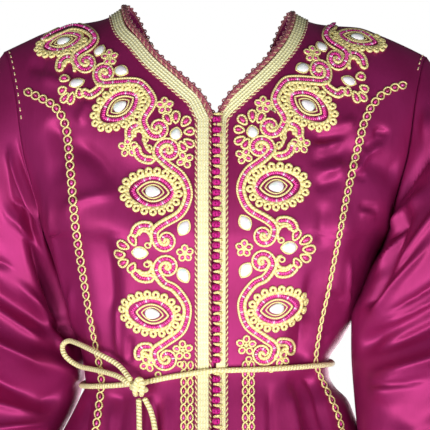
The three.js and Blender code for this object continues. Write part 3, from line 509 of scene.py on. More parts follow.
# ---- the forms ----
class BodyForm:
    """The filled-out body of the tunic: smooth rings with flutes and creases raised off them."""

    depth = 1.45               # how much deeper the cloth's creases are than the plain tables

    def __init__(self, folds: dict[Facing, tuple[Fold, ...]]) -> None:
        """Fits curves to the tables.

        Args:
            folds: the creases of the front and of the back, beside the large ones.
        """
        self.folds = {facing: BODY_CREASES[facing] + folds[facing] for facing in Facing}
        self.ring_half = by_side(RINGS, "z")
        heights, _, _, front, back = zip(*RINGS)
        self.ring_deep = {Facing.FRONT: Profile(heights, front), Facing.BACK: Profile(heights, back)}
        self.ridge = by_side(RIDGE, "at")
        self.neck = by_side(NECK, "at")
        self.armhole = Profile(*zip(*ARMHOLE))

    def half(self, side: Side, level: Array) -> Array:
        """Half the ring's width: the armpit's, then the yoke's above it.

        Args:
            side: whose side.
            level: -1 at the hem, 0 at the armpit, 1 on the shoulder.

        Returns:
            The half width.
        """
        climb = np.sin(np.clip(level, 0, None) * math.pi / 2)
        yoke = CHEST_HALF + YOKE_SPREAD * climb**0.6
        return np.where(level > 0, yoke, self.ring_half[side](ARMPIT_Z + level * SKIRT))

    def turn_at(self, side: Side, x: Array, level: Array) -> Array:
        """The turn, 0 at the centre and 1 at the side seam, that lies `x` from the middle."""
        share = np.clip(x / self.half(side, level), 0, 1)
        return 2 / math.pi * np.arcsin(share ** (ROUND / 2))

    def outer(self, side: Side, level: Array) -> Array:
        """The turn at which the cloth ends: the armhole above the armpit, the side seam below."""
        edge = self.turn_at(side, self.armhole(np.clip(level, 0, 1)), level)
        return np.where(level > 0, edge, 1.0)

    def smooth_point(self, side: Side, facing: Facing, turn: Array, level: Array) -> Array:
        """Points of the body before its creases.

        Args:
            side: whose side.
            facing: front or back.
            turn: 0 at the centre, 1 at the side seam.
            level: -1 at the hem, 0 at the armpit, 1 on the shoulder.

        Returns:
            The points.
        """
        angle = turn * math.pi / 2
        across = np.clip(np.sin(angle), 0, None) ** (2 / ROUND)
        out = np.clip(np.cos(angle), 0, None) ** (2 / ROUND)
        x = side.value * self.half(side, level) * across
        climb = np.clip(level, 0, 1) * math.pi / 2
        deep = self.ring_deep[facing]
        fall = np.clip(np.cos(climb), 0, None) ** 1.2
        ridge_z = ARMPIT_Z + (self.ridge[side](np.abs(x)) - ARMPIT_Z) * np.sin(climb)
        z = ARMPIT_Z + level * SKIRT
        tilt = (belt_z(x) - WAIST_Z) * np.exp(-(((z - WAIST_Z) / BELT_REACH) ** 2)) * eased(-level / 0.05)
        above = level > 0
        y = facing.value * np.where(above, deep(ARMPIT_Z) * fall, deep(z)) * out
        return np.stack(np.broadcast_arrays(x, y, np.where(above, ridge_z, z + tilt)), axis=-1)

    def normal(self, side: Side, facing: Facing, turn: Array, level: Array) -> Array:
        """Outward directions of the smooth body, level at the seams so that edges meet.

        Args:
            side: whose side.
            facing: front or back.
            turn: as for smooth_point.
            level: as for smooth_point.

        Returns:
            The directions.
        """
        step = 0.004
        at, high = np.clip(turn, step, 1 - step), np.clip(level, -1 + step, 0.975)
        point = partial(self.smooth_point, side, facing)
        across = point(at + step, high) - point(at - step, high)
        up = point(at, high + step) - point(at, high - step)
        normal = np.cross(across, up) * (-side.value * facing.value)
        flat = (turn > 0.999) | (level > 0.999)
        normal[..., 1] = np.where(flat, 0, normal[..., 1])
        return unit(normal)

    def rise(self, side: Side, facing: Facing, turn: Array, level: Array, spot: Array) -> Array:
        """How far flutes and creases lift the cloth; they leave braid, seams and belt line alone.

        Args:
            side: whose side.
            facing: front or back.
            turn: as for smooth_point.
            level: as for smooth_point.
            spot: the smooth points there.

        Returns:
            The lift at each.
        """
        x, z = spot[..., 0], spot[..., 2]
        held = eased((self.outer(side, level) - turn) / 0.09)
        if facing is Facing.FRONT:
            held = held * eased((np.abs(x) - 0.018) / 0.022)
        lift = np.zeros(np.shape(x))
        for flute in FLUTES[facing, side]:
            spread = eased((flute.top - z) / (flute.top - HEM_Z))
            lift += flute.rise * spread * np.exp(-(((turn - flute.turn) / flute.half) ** 2))
        for fold in self.folds[facing]:
            lift += fold.lift(x, z) * self.depth
        return lift * held * eased(np.abs(z - belt_z(x)) / 0.012)

    def point(self, side: Side, facing: Facing, turn: Array, level: Array) -> Array:
        """Points of the finished cloth, half a seam off the other side of the body.

        Args:
            side: whose side.
            facing: front or back.
            turn: as for smooth_point.
            level: as for smooth_point.

        Returns:
            The points.
        """
        spot = self.smooth_point(side, facing, turn, level)
        lift = self.rise(side, facing, turn, level, spot)
        spot = spot + self.normal(side, facing, turn, level) * lift[..., None]
        spot[..., 1] += facing.value * SEAM / 2
        return spot

    def front_edge(self, side: Side, level: float) -> Spot:
        """A front's neck or centre edge at a level.

        Args:
            side: whose front.
            level: as for smooth_point.

        Returns:
            The edge's distance from the middle, and its lean.
        """
        if level <= NECK_LEVEL:
            return SEAM / 2, 0.0
        half, ridge, climb = self.neck[side], self.ridge[side], math.sin(level * math.pi / 2)
        x = 0.04
        for _ in range(60):
            x = (x + float(half(ARMPIT_Z + (ridge(x) - ARMPIT_Z) * climb))) / 2
        z = float(ARMPIT_Z + (ridge(x) - ARMPIT_Z) * climb)
        return x, float(half(z + 0.002) - half(z - 0.002)) / 0.004

    def neck_share(self, side: Side) -> float:
        """Where the back's neckline ends on the shoulder, as a share of the way to the armhole.

        Args:
            side: whose side.

        Returns:
            The share.
        """
        one = np.array(1.0)
        neck, _ = self.front_edge(side, 1.0)
        return float(self.turn_at(side, neck, one) / self.turn_at(side, SHOULDER_X, one))

    def back_top(self, side: Side, share: Array) -> Array:
        """The level at which the back ends at its top, dipping between the neck's ends."""
        along = np.clip(share / self.neck_share(side), 0, 1)
        return 1 - SCOOP_DEPTH * (1 - along * along) ** SCOOP_FULLNESS


def belt_z(x: Array | float) -> Array | float:
    """The belt line's height at a distance from the middle."""
    return WAIST_Z + BELT_RISE(x)


class SleeveForm:
    """One full sleeve: rings from the armhole down to the cuff, with creases raised off them."""

    depth = 1.55               # how much deeper its creases are than the plain tables

    def __init__(self, side: Side, body: BodyForm, folds: tuple[Fold, ...]) -> None:
        """Fits curves to the tables and joins the sleeve to the body.

        Args:
            side: whose sleeve.
            body: the body it is sewn to.
            folds: its creases, beside the large ones.
        """
        self.side = side
        rings = SLEEVE_RINGS[side]
        down = [ring.down for ring in rings]
        self.ring = {name: Profile(down, [getattr(ring, name) for ring in rings])
                     for name in Cuff._fields[1:]}
        large = tuple(straight(a0 * SLEEVE_GIRTH, d0, a1 * SLEEVE_GIRTH, d1, half, rise)
                      for a0, d0, a1, d1, half, rise in SLEEVE_CREASES[side])
        self.folds = large + folds
        self.angle, self.shift = self._armhole(body)

    def _armhole(self, body: BodyForm) -> tuple[Array, Array]:
        """The seam with the body.

        Args:
            body: the body it is sewn to.

        Returns:
            The seam's angles round the sleeve, and its offsets from the plain ring.
        """
        levels = np.linspace(0, 1, 61)
        turns = body.turn_at(self.side, body.armhole(levels), levels)
        front = body.point(self.side, Facing.FRONT, turns, levels)[::-1]
        back = body.point(self.side, Facing.BACK, turns, levels)[1:-1]
        top, bottom = front[0, 2], front[-1, 2]
        angles = [np.arccos(2 * np.clip((half[:, 2] - bottom) / (top - bottom), 0, 1) - 1)
                  for half in (front, back)]
        angle = np.concatenate([angles[0], CIRCLE - angles[1]])
        edge = np.concatenate([front, back])
        shift = edge - self.ring_point(angle, np.zeros(len(angle)))
        shift[:, 0] += self.side.value * ARMHOLE_SHIFT
        return angle, shift

    def ring_point(self, angle: Array, down: Array) -> Array:
        """Points of the plain rings.

        Args:
            angle: angles from their top over the front.
            down: distances down the sleeve.

        Returns:
            The points.
        """
        ring, sign = self.ring, self.side.value
        outer, inner = (
            np.stack([sign * ring[f"{end}_x"](down), ring["swing"](down), ring[f"{end}_z"](down)], axis=-1)
            for end in ("out", "in"))
        spot = (outer + inner) / 2 + (outer - inner) * np.cos(angle)[..., None] / 2
        spot[..., 1] += Facing.FRONT.value * ring["deep"](down) * np.sin(angle)
        return spot

    def smooth_point(self, angle: Array, down: Array) -> Array:
        """Points of the sleeve before its creases; the armhole's outline fades into the rings.

        Args:
            angle: angles from the top over the front.
            down: distances down the sleeve.

        Returns:
            The points.
        """
        order = np.argsort(self.angle)
        place = partial(np.interp, angle % CIRCLE, self.angle[order], period=CIRCLE)
        offset = np.stack([place(column[order]) for column in self.shift.T], axis=-1)
        return self.ring_point(angle, down) + offset * (1 - eased(down / ARMHOLE_EASE))[..., None]

    def point(self, angle: Array, down: Array) -> Array:
        """Points of the finished sleeve.

        Args:
            angle: angles from the top over the front.
            down: distances down the sleeve.

        Returns:
            The points.
        """
        step, reach = 0.02, 0.004
        around = self.smooth_point(angle + step, down) - self.smooth_point(angle - step, down)
        before, after = np.clip(down - reach, 0, None), down + reach
        along = self.smooth_point(angle, after) - self.smooth_point(angle, before)
        normal = unit(np.cross(around, along) * self.side.value)
        part = angle / CIRCLE
        lift = np.zeros(np.shape(angle))
        for fold in self.folds:
            lift += fold.lift(part * SLEEVE_GIRTH, down) * self.depth
        held = eased(down / 0.022) * eased((np.abs(part - 0.5) - 0.035) / 0.09)
        return self.smooth_point(angle, down) + normal * (lift * held)[..., None]


# ---- making meshes ----
@lru_cache(maxsize=None)
def grid_faces(columns: int, rows: int) -> Array:
    """Corner numbers of the faces of a grid, row by row.

    Args:
        columns: faces across.
        rows: faces up.

    Returns:
        Four corner numbers for each face.
    """
    shape = bmesh.new()
    bmesh.ops.create_grid(shape, x_segments=columns, y_segments=rows, size=0.5)
    shape.verts.index_update()
    faces = np.array([[corner.index for corner in face.verts] for face in shape.faces])
    shape.free()
    return faces


def framed(path: Array, up: Array | None, closed: bool = False) -> tuple[Array, Array, Array]:
    """The directions that go with each place of a path.

    Args:
        path: places along it, the first one again at the end where it is closed.
        up: a direction at each place to lean on, or None for the evenest turn.
        closed: True where the path ends where it starts.

    Returns:
        Directions along it, up from it and across it.
    """
    along = unit(np.gradient(path, axis=0))
    if closed:
        along[0] = along[-1] = unit(path[1] - path[-2])
    if up is None:
        lean = np.cross(along[0], (0.0, 0.0, 1.0))
        lean = lean if np.linalg.norm(lean) > 0.1 else np.cross(along[0], (0.0, 1.0, 0.0))
        ups = []
        for direction in along:
            lean = unit(lean - direction * (lean @ direction))
            ups.append(lean)
        up = np.array(ups)
    up = np.broadcast_to(up, path.shape)
    normal = unit(up - along * np.sum(up * along, axis=1, keepdims=True))
    return along, normal, np.cross(along, normal)


def ringed(turn: Array, first: Array, second: Array) -> Array:
    """The directions at turns from a first direction towards a second.

    Args:
        turn: the turns.
        first: the direction at no turn, or one for each place.
        second: the direction a quarter turn on.

    Returns:
        A ring of directions for each place.
    """
    return np.cos(turn)[:, None] * first[..., None, :] + np.sin(turn)[:, None] * second[..., None, :]


def tube(path: Array, radius: float | Array, sides: int = 6, up: Array | None = None,
         flat: float = 1.0, closed: bool = False) -> tuple[Array, Array]:
    """A cord round a path, as a grid whose ends and seam meet.

    Args:
        path: places along the cord's middle.
        radius: its radius, all along or at each place.
        sides: how many sides it has.
        up: a direction at each place, such as away from the cloth.
        flat: its height along `up` as a share of its width.
        closed: True for a ring, whose path doesn't repeat its first place.

    Returns:
        The grid's points and their places in the UV map: once round, and along in girths.
    """
    if closed:
        path = np.concatenate([path, path[:1]])
        up = np.concatenate([up, up[:1]]) if up is not None and up.ndim > 1 else up
    along, normal, across = framed(path, up, closed)
    radii = np.broadcast_to(radius, len(path)).astype(float)
    length = reached(path)
    if not closed:
        first, last = path[:1] - along[:1] * radii[0] * 0.4, path[-1:] + along[-1:] * radii[-1] * 0.4
        path = np.concatenate([first, path, last])
        normal, across = (np.concatenate([way[:1], way, way[-1:]]) for way in (normal, across))
        length = np.concatenate([length[:1], length, length[-1:]])
        radii = np.concatenate([[0], radii, [0]])
    turn = np.linspace(0, CIRCLE, sides + 1)
    spots = path[:, None] + radii[:, None, None] * ringed(turn, flat * normal, across)
    girth = CIRCLE * float(np.median(radii))
    return spots, paired(turn / CIRCLE, (length / girth)[:, None])


class Gathered:
    """Many small shapes on their way into one mesh."""

    def __init__(self) -> None:
        """Starts with nothing laid."""
        self.spots: list[Array] = []
        self.flats: list[Array] = []
        self.tones: list[Array] = []
        self.faces: list[Array] = []
        self.count = 0

    def lay(self, spots: Array, flat: Array, tone: float | Array = 0.0) -> None:
        """Adds grids of points, which close where their edges meet.

        Args:
            spots: one grid as (rows, columns, 3), or several of one size with a first axis more.
            flat: the places in the UV map, in the same order.
            tone: a number from 0 to 1 that the finish reads, for all or for each grid.
        """
        grids = spots if spots.ndim == 4 else spots[None]
        count, rows, columns, _ = grids.shape
        start = self.count + rows * columns * np.arange(count)[:, None, None]
        self.faces.append((grid_faces(columns - 1, rows - 1)[None] + start).reshape(-1, 4))
        self.spots.append(grids.reshape(-1, 3))
        self.flats.append(np.broadcast_to(flat, (count, rows, columns, 2)).reshape(-1, 2))
        self.tones.append(np.repeat(np.broadcast_to(tone, count), rows * columns))
        self.count += count * rows * columns

    def cord(self, path: Array, radius: float | Array, tone: float = 0.0, **shape: object) -> None:
        """Adds a cord.

        Args:
            path: places along its middle.
            radius: its radius, all along or at each place.
            tone: a number from 0 to 1 that the finish reads.
            shape: the rest of what tube takes.
        """
        self.lay(*tube(path, radius, **shape), tone)

    def barrels(self, middle: Array, along: Array, up: Array, half: float, radius: float,
                tone: float | Array, sides: int = 5) -> None:
        """Adds one small rounded barrel at each place, such as a bugle bead.

        Args:
            middle: the places.
            along: the direction of each one's length.
            up: a direction at each place away from the cloth.
            half: half the length.
            radius: the radius at the waist.
            tone: a number for each one that the finish reads.
            sides: how many sides it has.
        """
        side = unit(np.cross(along, up))
        rise = np.cross(side, along)
        turn = np.linspace(0, CIRCLE, sides + 1)
        shape = np.array(((-1.0, 0.0), (-0.94, 0.8), (0.0, 1.0), (0.94, 0.8), (1.0, 0.0)))
        spots = (middle[:, None, None] + half * shape[:, :1, None] * along[:, None, None]
                 + radius * shape[:, 1:, None] * ringed(turn, rise, side)[:, None])
        self.lay(spots, paired(turn / CIRCLE, shape[:, :1] / 2 + 0.5), tone)

    def piece(self, name: str, finish: "Finish", nodes: Sequence[str] = ()) -> Piece:
        """The one mesh of all that was laid, in its finish.

        Args:
            name: the piece's name.
            finish: what it is dressed in.
            nodes: names of the solids it stands for.

        Returns:
            The piece.
        """
        mesh = bpy.data.meshes.new(name)
        mesh.from_pydata(np.concatenate(self.spots), [], np.concatenate(self.faces).tolist())
        corners = np.empty(len(mesh.loops), dtype=np.int32)
        mesh.loops.foreach_get("vertex_index", corners)
        mesh.uv_layers.new(name="UVMap").data.foreach_set("uv", np.concatenate(self.flats)[corners].ravel())
        mesh.attributes.new("tone", "FLOAT", "POINT").data.foreach_set("value", np.concatenate(self.tones))
        return dressed(name, mesh, finish, nodes)


def dressed(name: str, mesh: bpy.types.Mesh, finish: "Finish", nodes: Sequence[str]) -> Piece:
    """A piece of the garment from a mesh, closed, turned outwards, dressed and fixed to the body.

    Args:
        name: the piece's name.
        mesh: its mesh, still with points that meet.
        finish: what it is dressed in.
        nodes: names of the solids it stands for.

    Returns:
        The piece.
    """
    shape = bmesh.new()
    shape.from_mesh(mesh)
    bmesh.ops.remove_doubles(shape, verts=shape.verts, dist=2e-6)
    bmesh.ops.dissolve_degenerate(shape, edges=shape.edges, dist=1e-7)
    bmesh.ops.recalc_face_normals(shape, faces=shape.faces)
    shape.to_mesh(mesh)
    shape.free()
    mesh.shade_smooth()
    mesh.materials.append(finish.material())
    piece = bpy.data.objects.new(name, mesh)
    bpy.context.scene.collection.objects.link(piece)
    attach(piece, "root")
    if nodes:
        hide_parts(*nodes)
    LOG.info("%s: %d faces", name, len(mesh.polygons))
    return piece


class Ground:
    """The cloth that trim lies on."""

    def __init__(self, piece: Piece) -> None:
        """Keeps the cloth's faces and directions.

        Args:
            piece: the cloth.
        """
        self.mesh = piece.data
        self.mesh.calc_loop_triangles()
        corners = [vertex.co.copy() for vertex in self.mesh.vertices]
        self.tree = BVHTree.FromPolygons(corners, [tuple(face.vertices) for face in self.mesh.polygons])
        self.normals = [vertex.normal.copy() for vertex in self.mesh.vertices]

    def _soft_normal(self, face: int, spot: Vector) -> Vector:
        """The cloth's direction at a spot, between those of its face's corners.

        Args:
            face: the face's number.
            spot: the place on it.

        Returns:
            The direction.
        """
        total = Vector()
        for corner in self.mesh.polygons[face].vertices:
            near = 1 / ((self.mesh.vertices[corner].co - spot).length + 1e-5)
            total += self.normals[corner] * near
        return total.normalized()

    def under(self, spots: Array, ways: Array) -> tuple[Array, Array]:
        """Where lines meet the cloth.

        Args:
            spots: the lines' starts.
            ways: their directions.

        Returns:
            The places met, and the cloth's outward directions there.
        """
        places, ups = [], []
        for spot, way in zip(spots, np.broadcast_to(ways, spots.shape)):
            start, direction = Vector(spot), Vector(way)
            place, _, face, _ = self.tree.ray_cast(start, direction)
            if place is None:
                place, _, face, _ = self.tree.find_nearest(start + direction * 0.02)
            up = self._soft_normal(face, place)
            places.append(place)
            ups.append(up if up.dot(direction) < 0 else -up)
        return np.array(places), np.array(ups)

    def _lifted(self, spots: Array, ways: Array, lift: float | Array) -> tuple[Array, Array]:
        """Places off the cloth where lines meet it, and the cloth's outward directions there."""
        places, ups = self.under(spots, ways)
        return places + ups * np.broadcast_to(lift, len(spots))[:, None], ups

    def drop(self, flat: Array, lift: float | Array = 0.0) -> tuple[Array, Array]:
        """Places on the front of the cloth, given across and up.

        Args:
            flat: the places as (x, z).
            lift: how far off the cloth they end.

        Returns:
            The places, and the cloth's outward directions there.
        """
        return self._lifted(np.insert(flat, 1, IN_FRONT, axis=1), np.array((0.0, 1.0, 0.0)), lift)

    def seen(self, flat: Array, lift: float | Array = 0.0) -> tuple[Array, Array]:
        """Places on the cloth that lie behind places on the plane of the chest, as looked at from the eye.

        Args:
            flat: the places on that plane as (x, z).
            lift: how far off the cloth they end.

        Returns:
            The places, and the cloth's outward directions there.
        """
        plane = np.insert(flat, 1, CHEST_Y, axis=1)
        ways = unit(plane - np.array(EYE))
        return self._lifted(plane - ways * 0.25, ways, lift)


# ---- finishes ----
Colour = Point


class Number:
    """A number in a material; ordinary arithmetic on it adds the nodes that do the sum."""

    def __init__(self, recipe: "Recipe", socket: Socket) -> None:
        """Takes up a socket of one of the recipe's nodes."""
        self.recipe, self.socket = recipe, socket

    def math(self, operation: str, *others: "Number | float") -> "Number":
        """The result of a Math node on this number and others."""
        sums = self.recipe.node("ShaderNodeMath", {"operation": operation}, dict(enumerate((self, *others))))
        return Number(self.recipe, sums[0])

    def __add__(self, other: "Number | float") -> "Number":
        """This number plus another."""
        return self.math("ADD", other)

    def __mul__(self, other: "Number | float") -> "Number":
        """This number times another."""
        return self.math("MULTIPLY", other)

    def __sub__(self, other: "Number | float") -> "Number":
        """This number less another."""
        return self.math("SUBTRACT", other)

    def __rsub__(self, other: float) -> "Number":
        """Another number less this."""
        return (self * -1.0) + other

    def wave(self) -> "Number":
        """A wave from 0 to 1 that comes round with each whole number."""
        return (self * CIRCLE).math("SINE") * 0.5 + 0.5

    def peak(self) -> "Number":
        """A tooth that is 0 at whole numbers and 1 halfway between them."""
        return 1 - (self.math("FRACT") * 2 - 1).math("ABSOLUTE")

    def clipped(self) -> "Number":
        """This number kept from 0 to 1."""
        return self.math("MAXIMUM", 0.0).math("MINIMUM", 1.0)


class Recipe:
    """The nodes of one material."""

    def __init__(self, name: str) -> None:
        """Starts the material with its own shader.

        Args:
            name: the material's name.
        """
        self.material = bpy.data.materials.new(name)
        self.material.use_nodes = True
        self.tree = self.material.node_tree
        self.shader = self.tree.nodes["Principled BSDF"]

    def node(self, kind: str, settings: dict[str, object] | None = None,
             sockets: dict[str | int, object] | None = None) -> bpy.types.NodeOutputs:
        """Adds a node.

        Args:
            kind: the node's type.
            settings: its settings, set first.
            sockets: values, numbers or sockets for its inputs.

        Returns:
            Its outputs.
        """
        node = self.tree.nodes.new(kind)
        for name, value in (settings or {}).items():
            setattr(node, name, value)
        for name, value in (sockets or {}).items():
            self.link(node.inputs[name], value)
        return node.outputs

    def link(self, socket: Socket, value: object) -> None:
        """Sets an input socket to a plain value, or joins it to a number or a socket.

        Args:
            socket: the input.
            value: what it gets.
        """
        if isinstance(value, Number):
            value = value.socket
        if isinstance(value, Socket):
            self.tree.links.new(value, socket)
        else:
            socket.default_value = value

    def feed(self, **sockets: object) -> None:
        """Sets the shader's sockets to plain values, or joins them to numbers and colours."""
        for name, value in sockets.items():
            self.link(self.shader.inputs[name.replace("_", " ")], value)

    def flat(self) -> tuple[Number, Number]:
        """The two measures of the piece's own UV map.

        Returns:
            The one across or round the piece, and the one along it.
        """
        uv = self.node("ShaderNodeUVMap", {"uv_map": "UVMap"})["UV"]
        parts = self.node("ShaderNodeSeparateXYZ", sockets={0: uv})
        return Number(self, parts["X"]), Number(self, parts["Y"])

    def wound(self, turns: float) -> Number:
        """Turns of thread that slant round a cord, a number of them to each girth of length."""
        around, along = self.flat()
        return (along * turns + around).wave()

    def tone(self) -> Number:
        """The piece's own tone, from 0 to 1."""
        return Number(self, self.node("ShaderNodeAttribute", {"attribute_name": "tone"})["Fac"])

    def noise(self, scale: float, detail: float = 2.0, stretch: Point = (1, 1, 1)) -> Number:
        """Soft random patches on the object's own places.

        Args:
            scale: how many come to a metre.
            detail: how many finer layers they have.
            stretch: how much closer they lie along each axis.

        Returns:
            A number round 0.5.
        """
        places = self.node("ShaderNodeTexCoord")["Object"]
        where = self.node("ShaderNodeMapping", sockets={"Vector": places, "Scale": stretch})[0]
        patches = self.node("ShaderNodeTexNoise", sockets={"Vector": where, "Scale": scale, "Detail": detail})
        return Number(self, patches["Fac"])

    def mix(self, share: Number | float, low: object, high: object) -> Socket:
        """A colour between two.

        Args:
            share: 0 for the first and 1 for the second.
            low: the first, as a colour or a socket.
            high: the second.

        Returns:
            The colour's socket.
        """
        ends = [(*colour, 1.0) if isinstance(colour, tuple) else colour for colour in (low, high)]
        settings = {"data_type": "RGBA", "clamp_factor": True}
        return self.node("ShaderNodeMix", settings, {0: share, 6: ends[0], 7: ends[1]})[2]

    def ramp(self, share: Number, stops: Sequence[tuple[float, Colour]]) -> Socket:
        """A colour from a run of several.

        Args:
            share: where in the run, from 0 to 1.
            stops: the places of its colours, and the colours.

        Returns:
            The colour's socket.
        """
        run = self.node("ShaderNodeValToRGB", sockets={0: share})[0]
        elements = run.node.color_ramp.elements
        while len(elements) < len(stops):
            elements.new(0.5)
        for element, (place, colour) in zip(elements, stops):
            element.position, element.color = place, (*colour, 1.0)
        return run

    def bump(self, height: Number, depth: float, strength: float) -> Socket:
        """A bump for the shader's normal, `depth` metres deep."""
        sockets = {"Height": height, "Distance": depth, "Strength": strength}
        return self.node("ShaderNodeBump", sockets=sockets)[0]


class Finish:
    """What a piece is dressed in; its material is made once."""

    slot = "satin"

    def material(self) -> bpy.types.Material:
        """The finish's material, made where it isn't there yet.

        Returns:
            The material.
        """
        words = (value for value in vars(self).values() if isinstance(value, str))
        name = "_".join((type(self).__name__, *words))
        if name not in bpy.data.materials:
            self.mixed(Recipe(name))
        return bpy.data.materials[name]

    def mixed(self, made: Recipe) -> None:
        """Writes the finish into an empty recipe."""
        raise NotImplementedError


@dataclass(frozen=True)
class Satin(Finish):
    """Plum satin: a base colour in soft random patches from deep plum to pink, painted shade and painted
    sheen that don't follow the folds; a fine twill and slubs along the warp.
    """

    slot = "satin"
    # the deep colour is painted shade and the pink one painted sheen
    deep: Colour = (0.24, 0.0075, 0.078)
    bright: Colour = (0.41, 0.024, 0.168)

    def mixed(self, made: Recipe) -> None:
        """Writes the finish into an empty recipe.

        Args:
            made: the recipe.
        """
        patches = made.noise(14.0)
        slubs = made.noise(500.0, stretch=(1.0, 1.0, 0.10))
        ripple = made.noise(38.0, stretch=(1.0, 1.0, 0.45))
        made.feed(
            # random patches of painted shade and painted sheen in the base colour
            Base_Color=made.mix(patches * 1.5 + slubs * 0.3 - 0.40, self.deep, self.bright),
            Metallic=0.55,
            Specular_IOR_Level=0.35,
            Roughness=slubs * 0.06 + 0.46,
            Normal=made.bump(ripple * 1.0 + slubs * 0.03, 0.0020, 0.45),
        )


@dataclass(frozen=True)
class GoldThread(Finish):
    """Pale gold metal thread wound round a core: its turns slant across the cord, with painted shade between
    them, painted highlights on them and in random glints.
    """

    slot = "gold_cord"
    shade: Colour = (0.80, 0.61, 0.19)
    light: Colour = (1.0, 0.94, 0.48)

    def mixed(self, made: Recipe) -> None:
        """Writes the finish into an empty recipe.

        Args:
            made: the recipe.
        """
        wound = made.wound(3.0)
        glint = made.noise(700.0)
        made.feed(
            # painted shade between the turns, painted highlights on them and in random glints
            Base_Color=made.mix(wound * 0.65 + glint * 0.6 - 0.1, self.shade, self.light),
            Metallic=0.15,
            Specular_IOR_Level=0.5,
            Roughness=glint * 0.2 + 0.32,
            Normal=made.bump(wound, 0.0004, 0.8),
        )


@dataclass(frozen=True)
class Braid(Finish):
    """Woven gold braid: lengthwise plaits of small slanting stitches that meet in a V; painted highlights on
    the plaits and stitches, painted shade between them and in dotted grooves, and painted glints.
    """

    slot = "gold_braid"
    shade: Colour = (0.72, 0.62, 0.21)
    light: Colour = (1.0, 0.98, 0.66)
    weave: str = "wide"    # the word that tells its materials apart; the left braid's copy has a paler shade, painted light against the buttons' shadow

    def mixed(self, made: Recipe) -> None:
        """Writes the finish into an empty recipe.

        Args:
            made: the recipe.
        """
        across, along = made.flat()
        plait = across.peak()
        stitch = (along + plait * 0.55).wave()
        glint = made.noise(500.0)
        dots = (along * 0.5 + plait * 0.25).wave()
        # painted highlights on plaits and stitches, painted shade between the plaits and in the dotted
        # grooves, painted glints
        share = stitch * 0.22 + plait.math("POWER", 0.45) * (1.05 - dots * 0.35) + glint * 0.35 - 0.18
        made.feed(
            Base_Color=made.mix(share.clipped(), self.shade, self.light),
            Metallic=0.08,
            Specular_IOR_Level=0.5,
            Roughness=0.55 - glint * 0.25,
            Normal=made.bump(stitch * plait, 0.0006, 0.9),
        )


@dataclass(frozen=True)
class Ply(Finish):
    """Silky thread in plum or gold by its strand's tone, as in a twisted cord of the two."""

    slot = "plum_gold_twist"
    plum: Colour = (0.34, 0.009, 0.075)
    gold: Colour = (0.95, 0.80, 0.42)
    sheen: Colour = (0.95, 0.70, 0.55)

    def mixed(self, made: Recipe) -> None:
        """Writes the finish into an empty recipe.

        Args:
            made: the recipe.
        """
        wound = made.wound(2.0)
        glint = made.noise(600.0)
        thread = made.mix(made.tone(), self.plum, self.gold)
        made.feed(
            Base_Color=made.mix((wound * 0.08 + glint * 0.08).clipped(), thread, self.sheen),
            Metallic=0.25,
            Sheen_Weight=0.2,
            Roughness=glint * 0.2 + 0.35,
            Normal=made.bump(wound, 0.0003, 0.7),
        )


@dataclass(frozen=True)
class Silk(Finish):
    """Plum silk cord of the knotted buttons: painted shade where its turns sink in and on the low-toned ball
    and link, painted light on the crests and in random glints.
    """

    slot = "plum_button"
    # the deep colour is painted shade and the brighter one painted light on the cord
    deep: Colour = (0.30, 0.004, 0.11)
    bright: Colour = (0.80, 0.012, 0.33)

    def mixed(self, made: Recipe) -> None:
        """Writes the finish into an empty recipe.

        Args:
            made: the recipe.
        """
        wound = made.wound(2.0)
        glint = made.noise(500.0)
        # painted shade in the sinking turns and on low-toned parts, painted light on the crests and in random
        # glints
        share = (wound * 0.30 + glint * 0.4 + made.tone() - 0.1).clipped()
        made.feed(
            Base_Color=made.mix(share, self.deep, self.bright),
            Metallic=0.15,
            Specular_IOR_Level=0.3,
            Roughness=glint * 0.2 + 0.38,
            Normal=made.bump(wound, 0.0003, 0.7),
        )


@dataclass(frozen=True)
class GlassBead(Finish):
    """Lined glass bugle beads, from deep pink to lilac by their tone; the almost white top tone is a painted
    glint.
    """

    slot = "gold_cord"
    # the last, almost white tint is a painted glint; the others are the beads' own colours
    tints: tuple[tuple[float, Colour], ...] = (
        (0.0, (0.34, 0.008, 0.12)), (0.45, (0.80, 0.028, 0.33)), (0.8, (0.92, 0.13, 0.55)),
        (1.0, (0.95, 0.76, 0.88)))

    def mixed(self, made: Recipe) -> None:
        """Writes the finish into an empty recipe.

        Args:
            made: the recipe.
        """
        glint = made.noise(800.0, 1.0)
        made.feed(
            Base_Color=made.ramp(made.tone(), self.tints),
            Coat_Weight=0.7,
            Coat_Roughness=0.08,
            Specular_IOR_Level=0.6,
            Roughness=glint * 0.2 + 0.14,
            Metallic=glint * 0.3,
        )


@dataclass(frozen=True)
class Pearl(Finish):
    """White cabochons with a faint play of lilac and green."""

    slot = "pearl_stone"
    tints: tuple[tuple[float, Colour], ...] = (
        (0.30, (0.74, 0.90, 0.86)), (0.5, (0.94, 0.94, 0.93)), (0.70, (0.90, 0.84, 0.92)))

    def mixed(self, made: Recipe) -> None:
        """Writes the finish into an empty recipe.

        Args:
            made: the recipe.
        """
        play = made.noise(120.0, 1.0)
        made.feed(
            Base_Color=made.ramp(play, self.tints),
            Coat_Weight=1.0,
            Coat_Roughness=0.04,
            Specular_IOR_Level=0.6,
            Roughness=play * 0.1 + 0.08,
        )


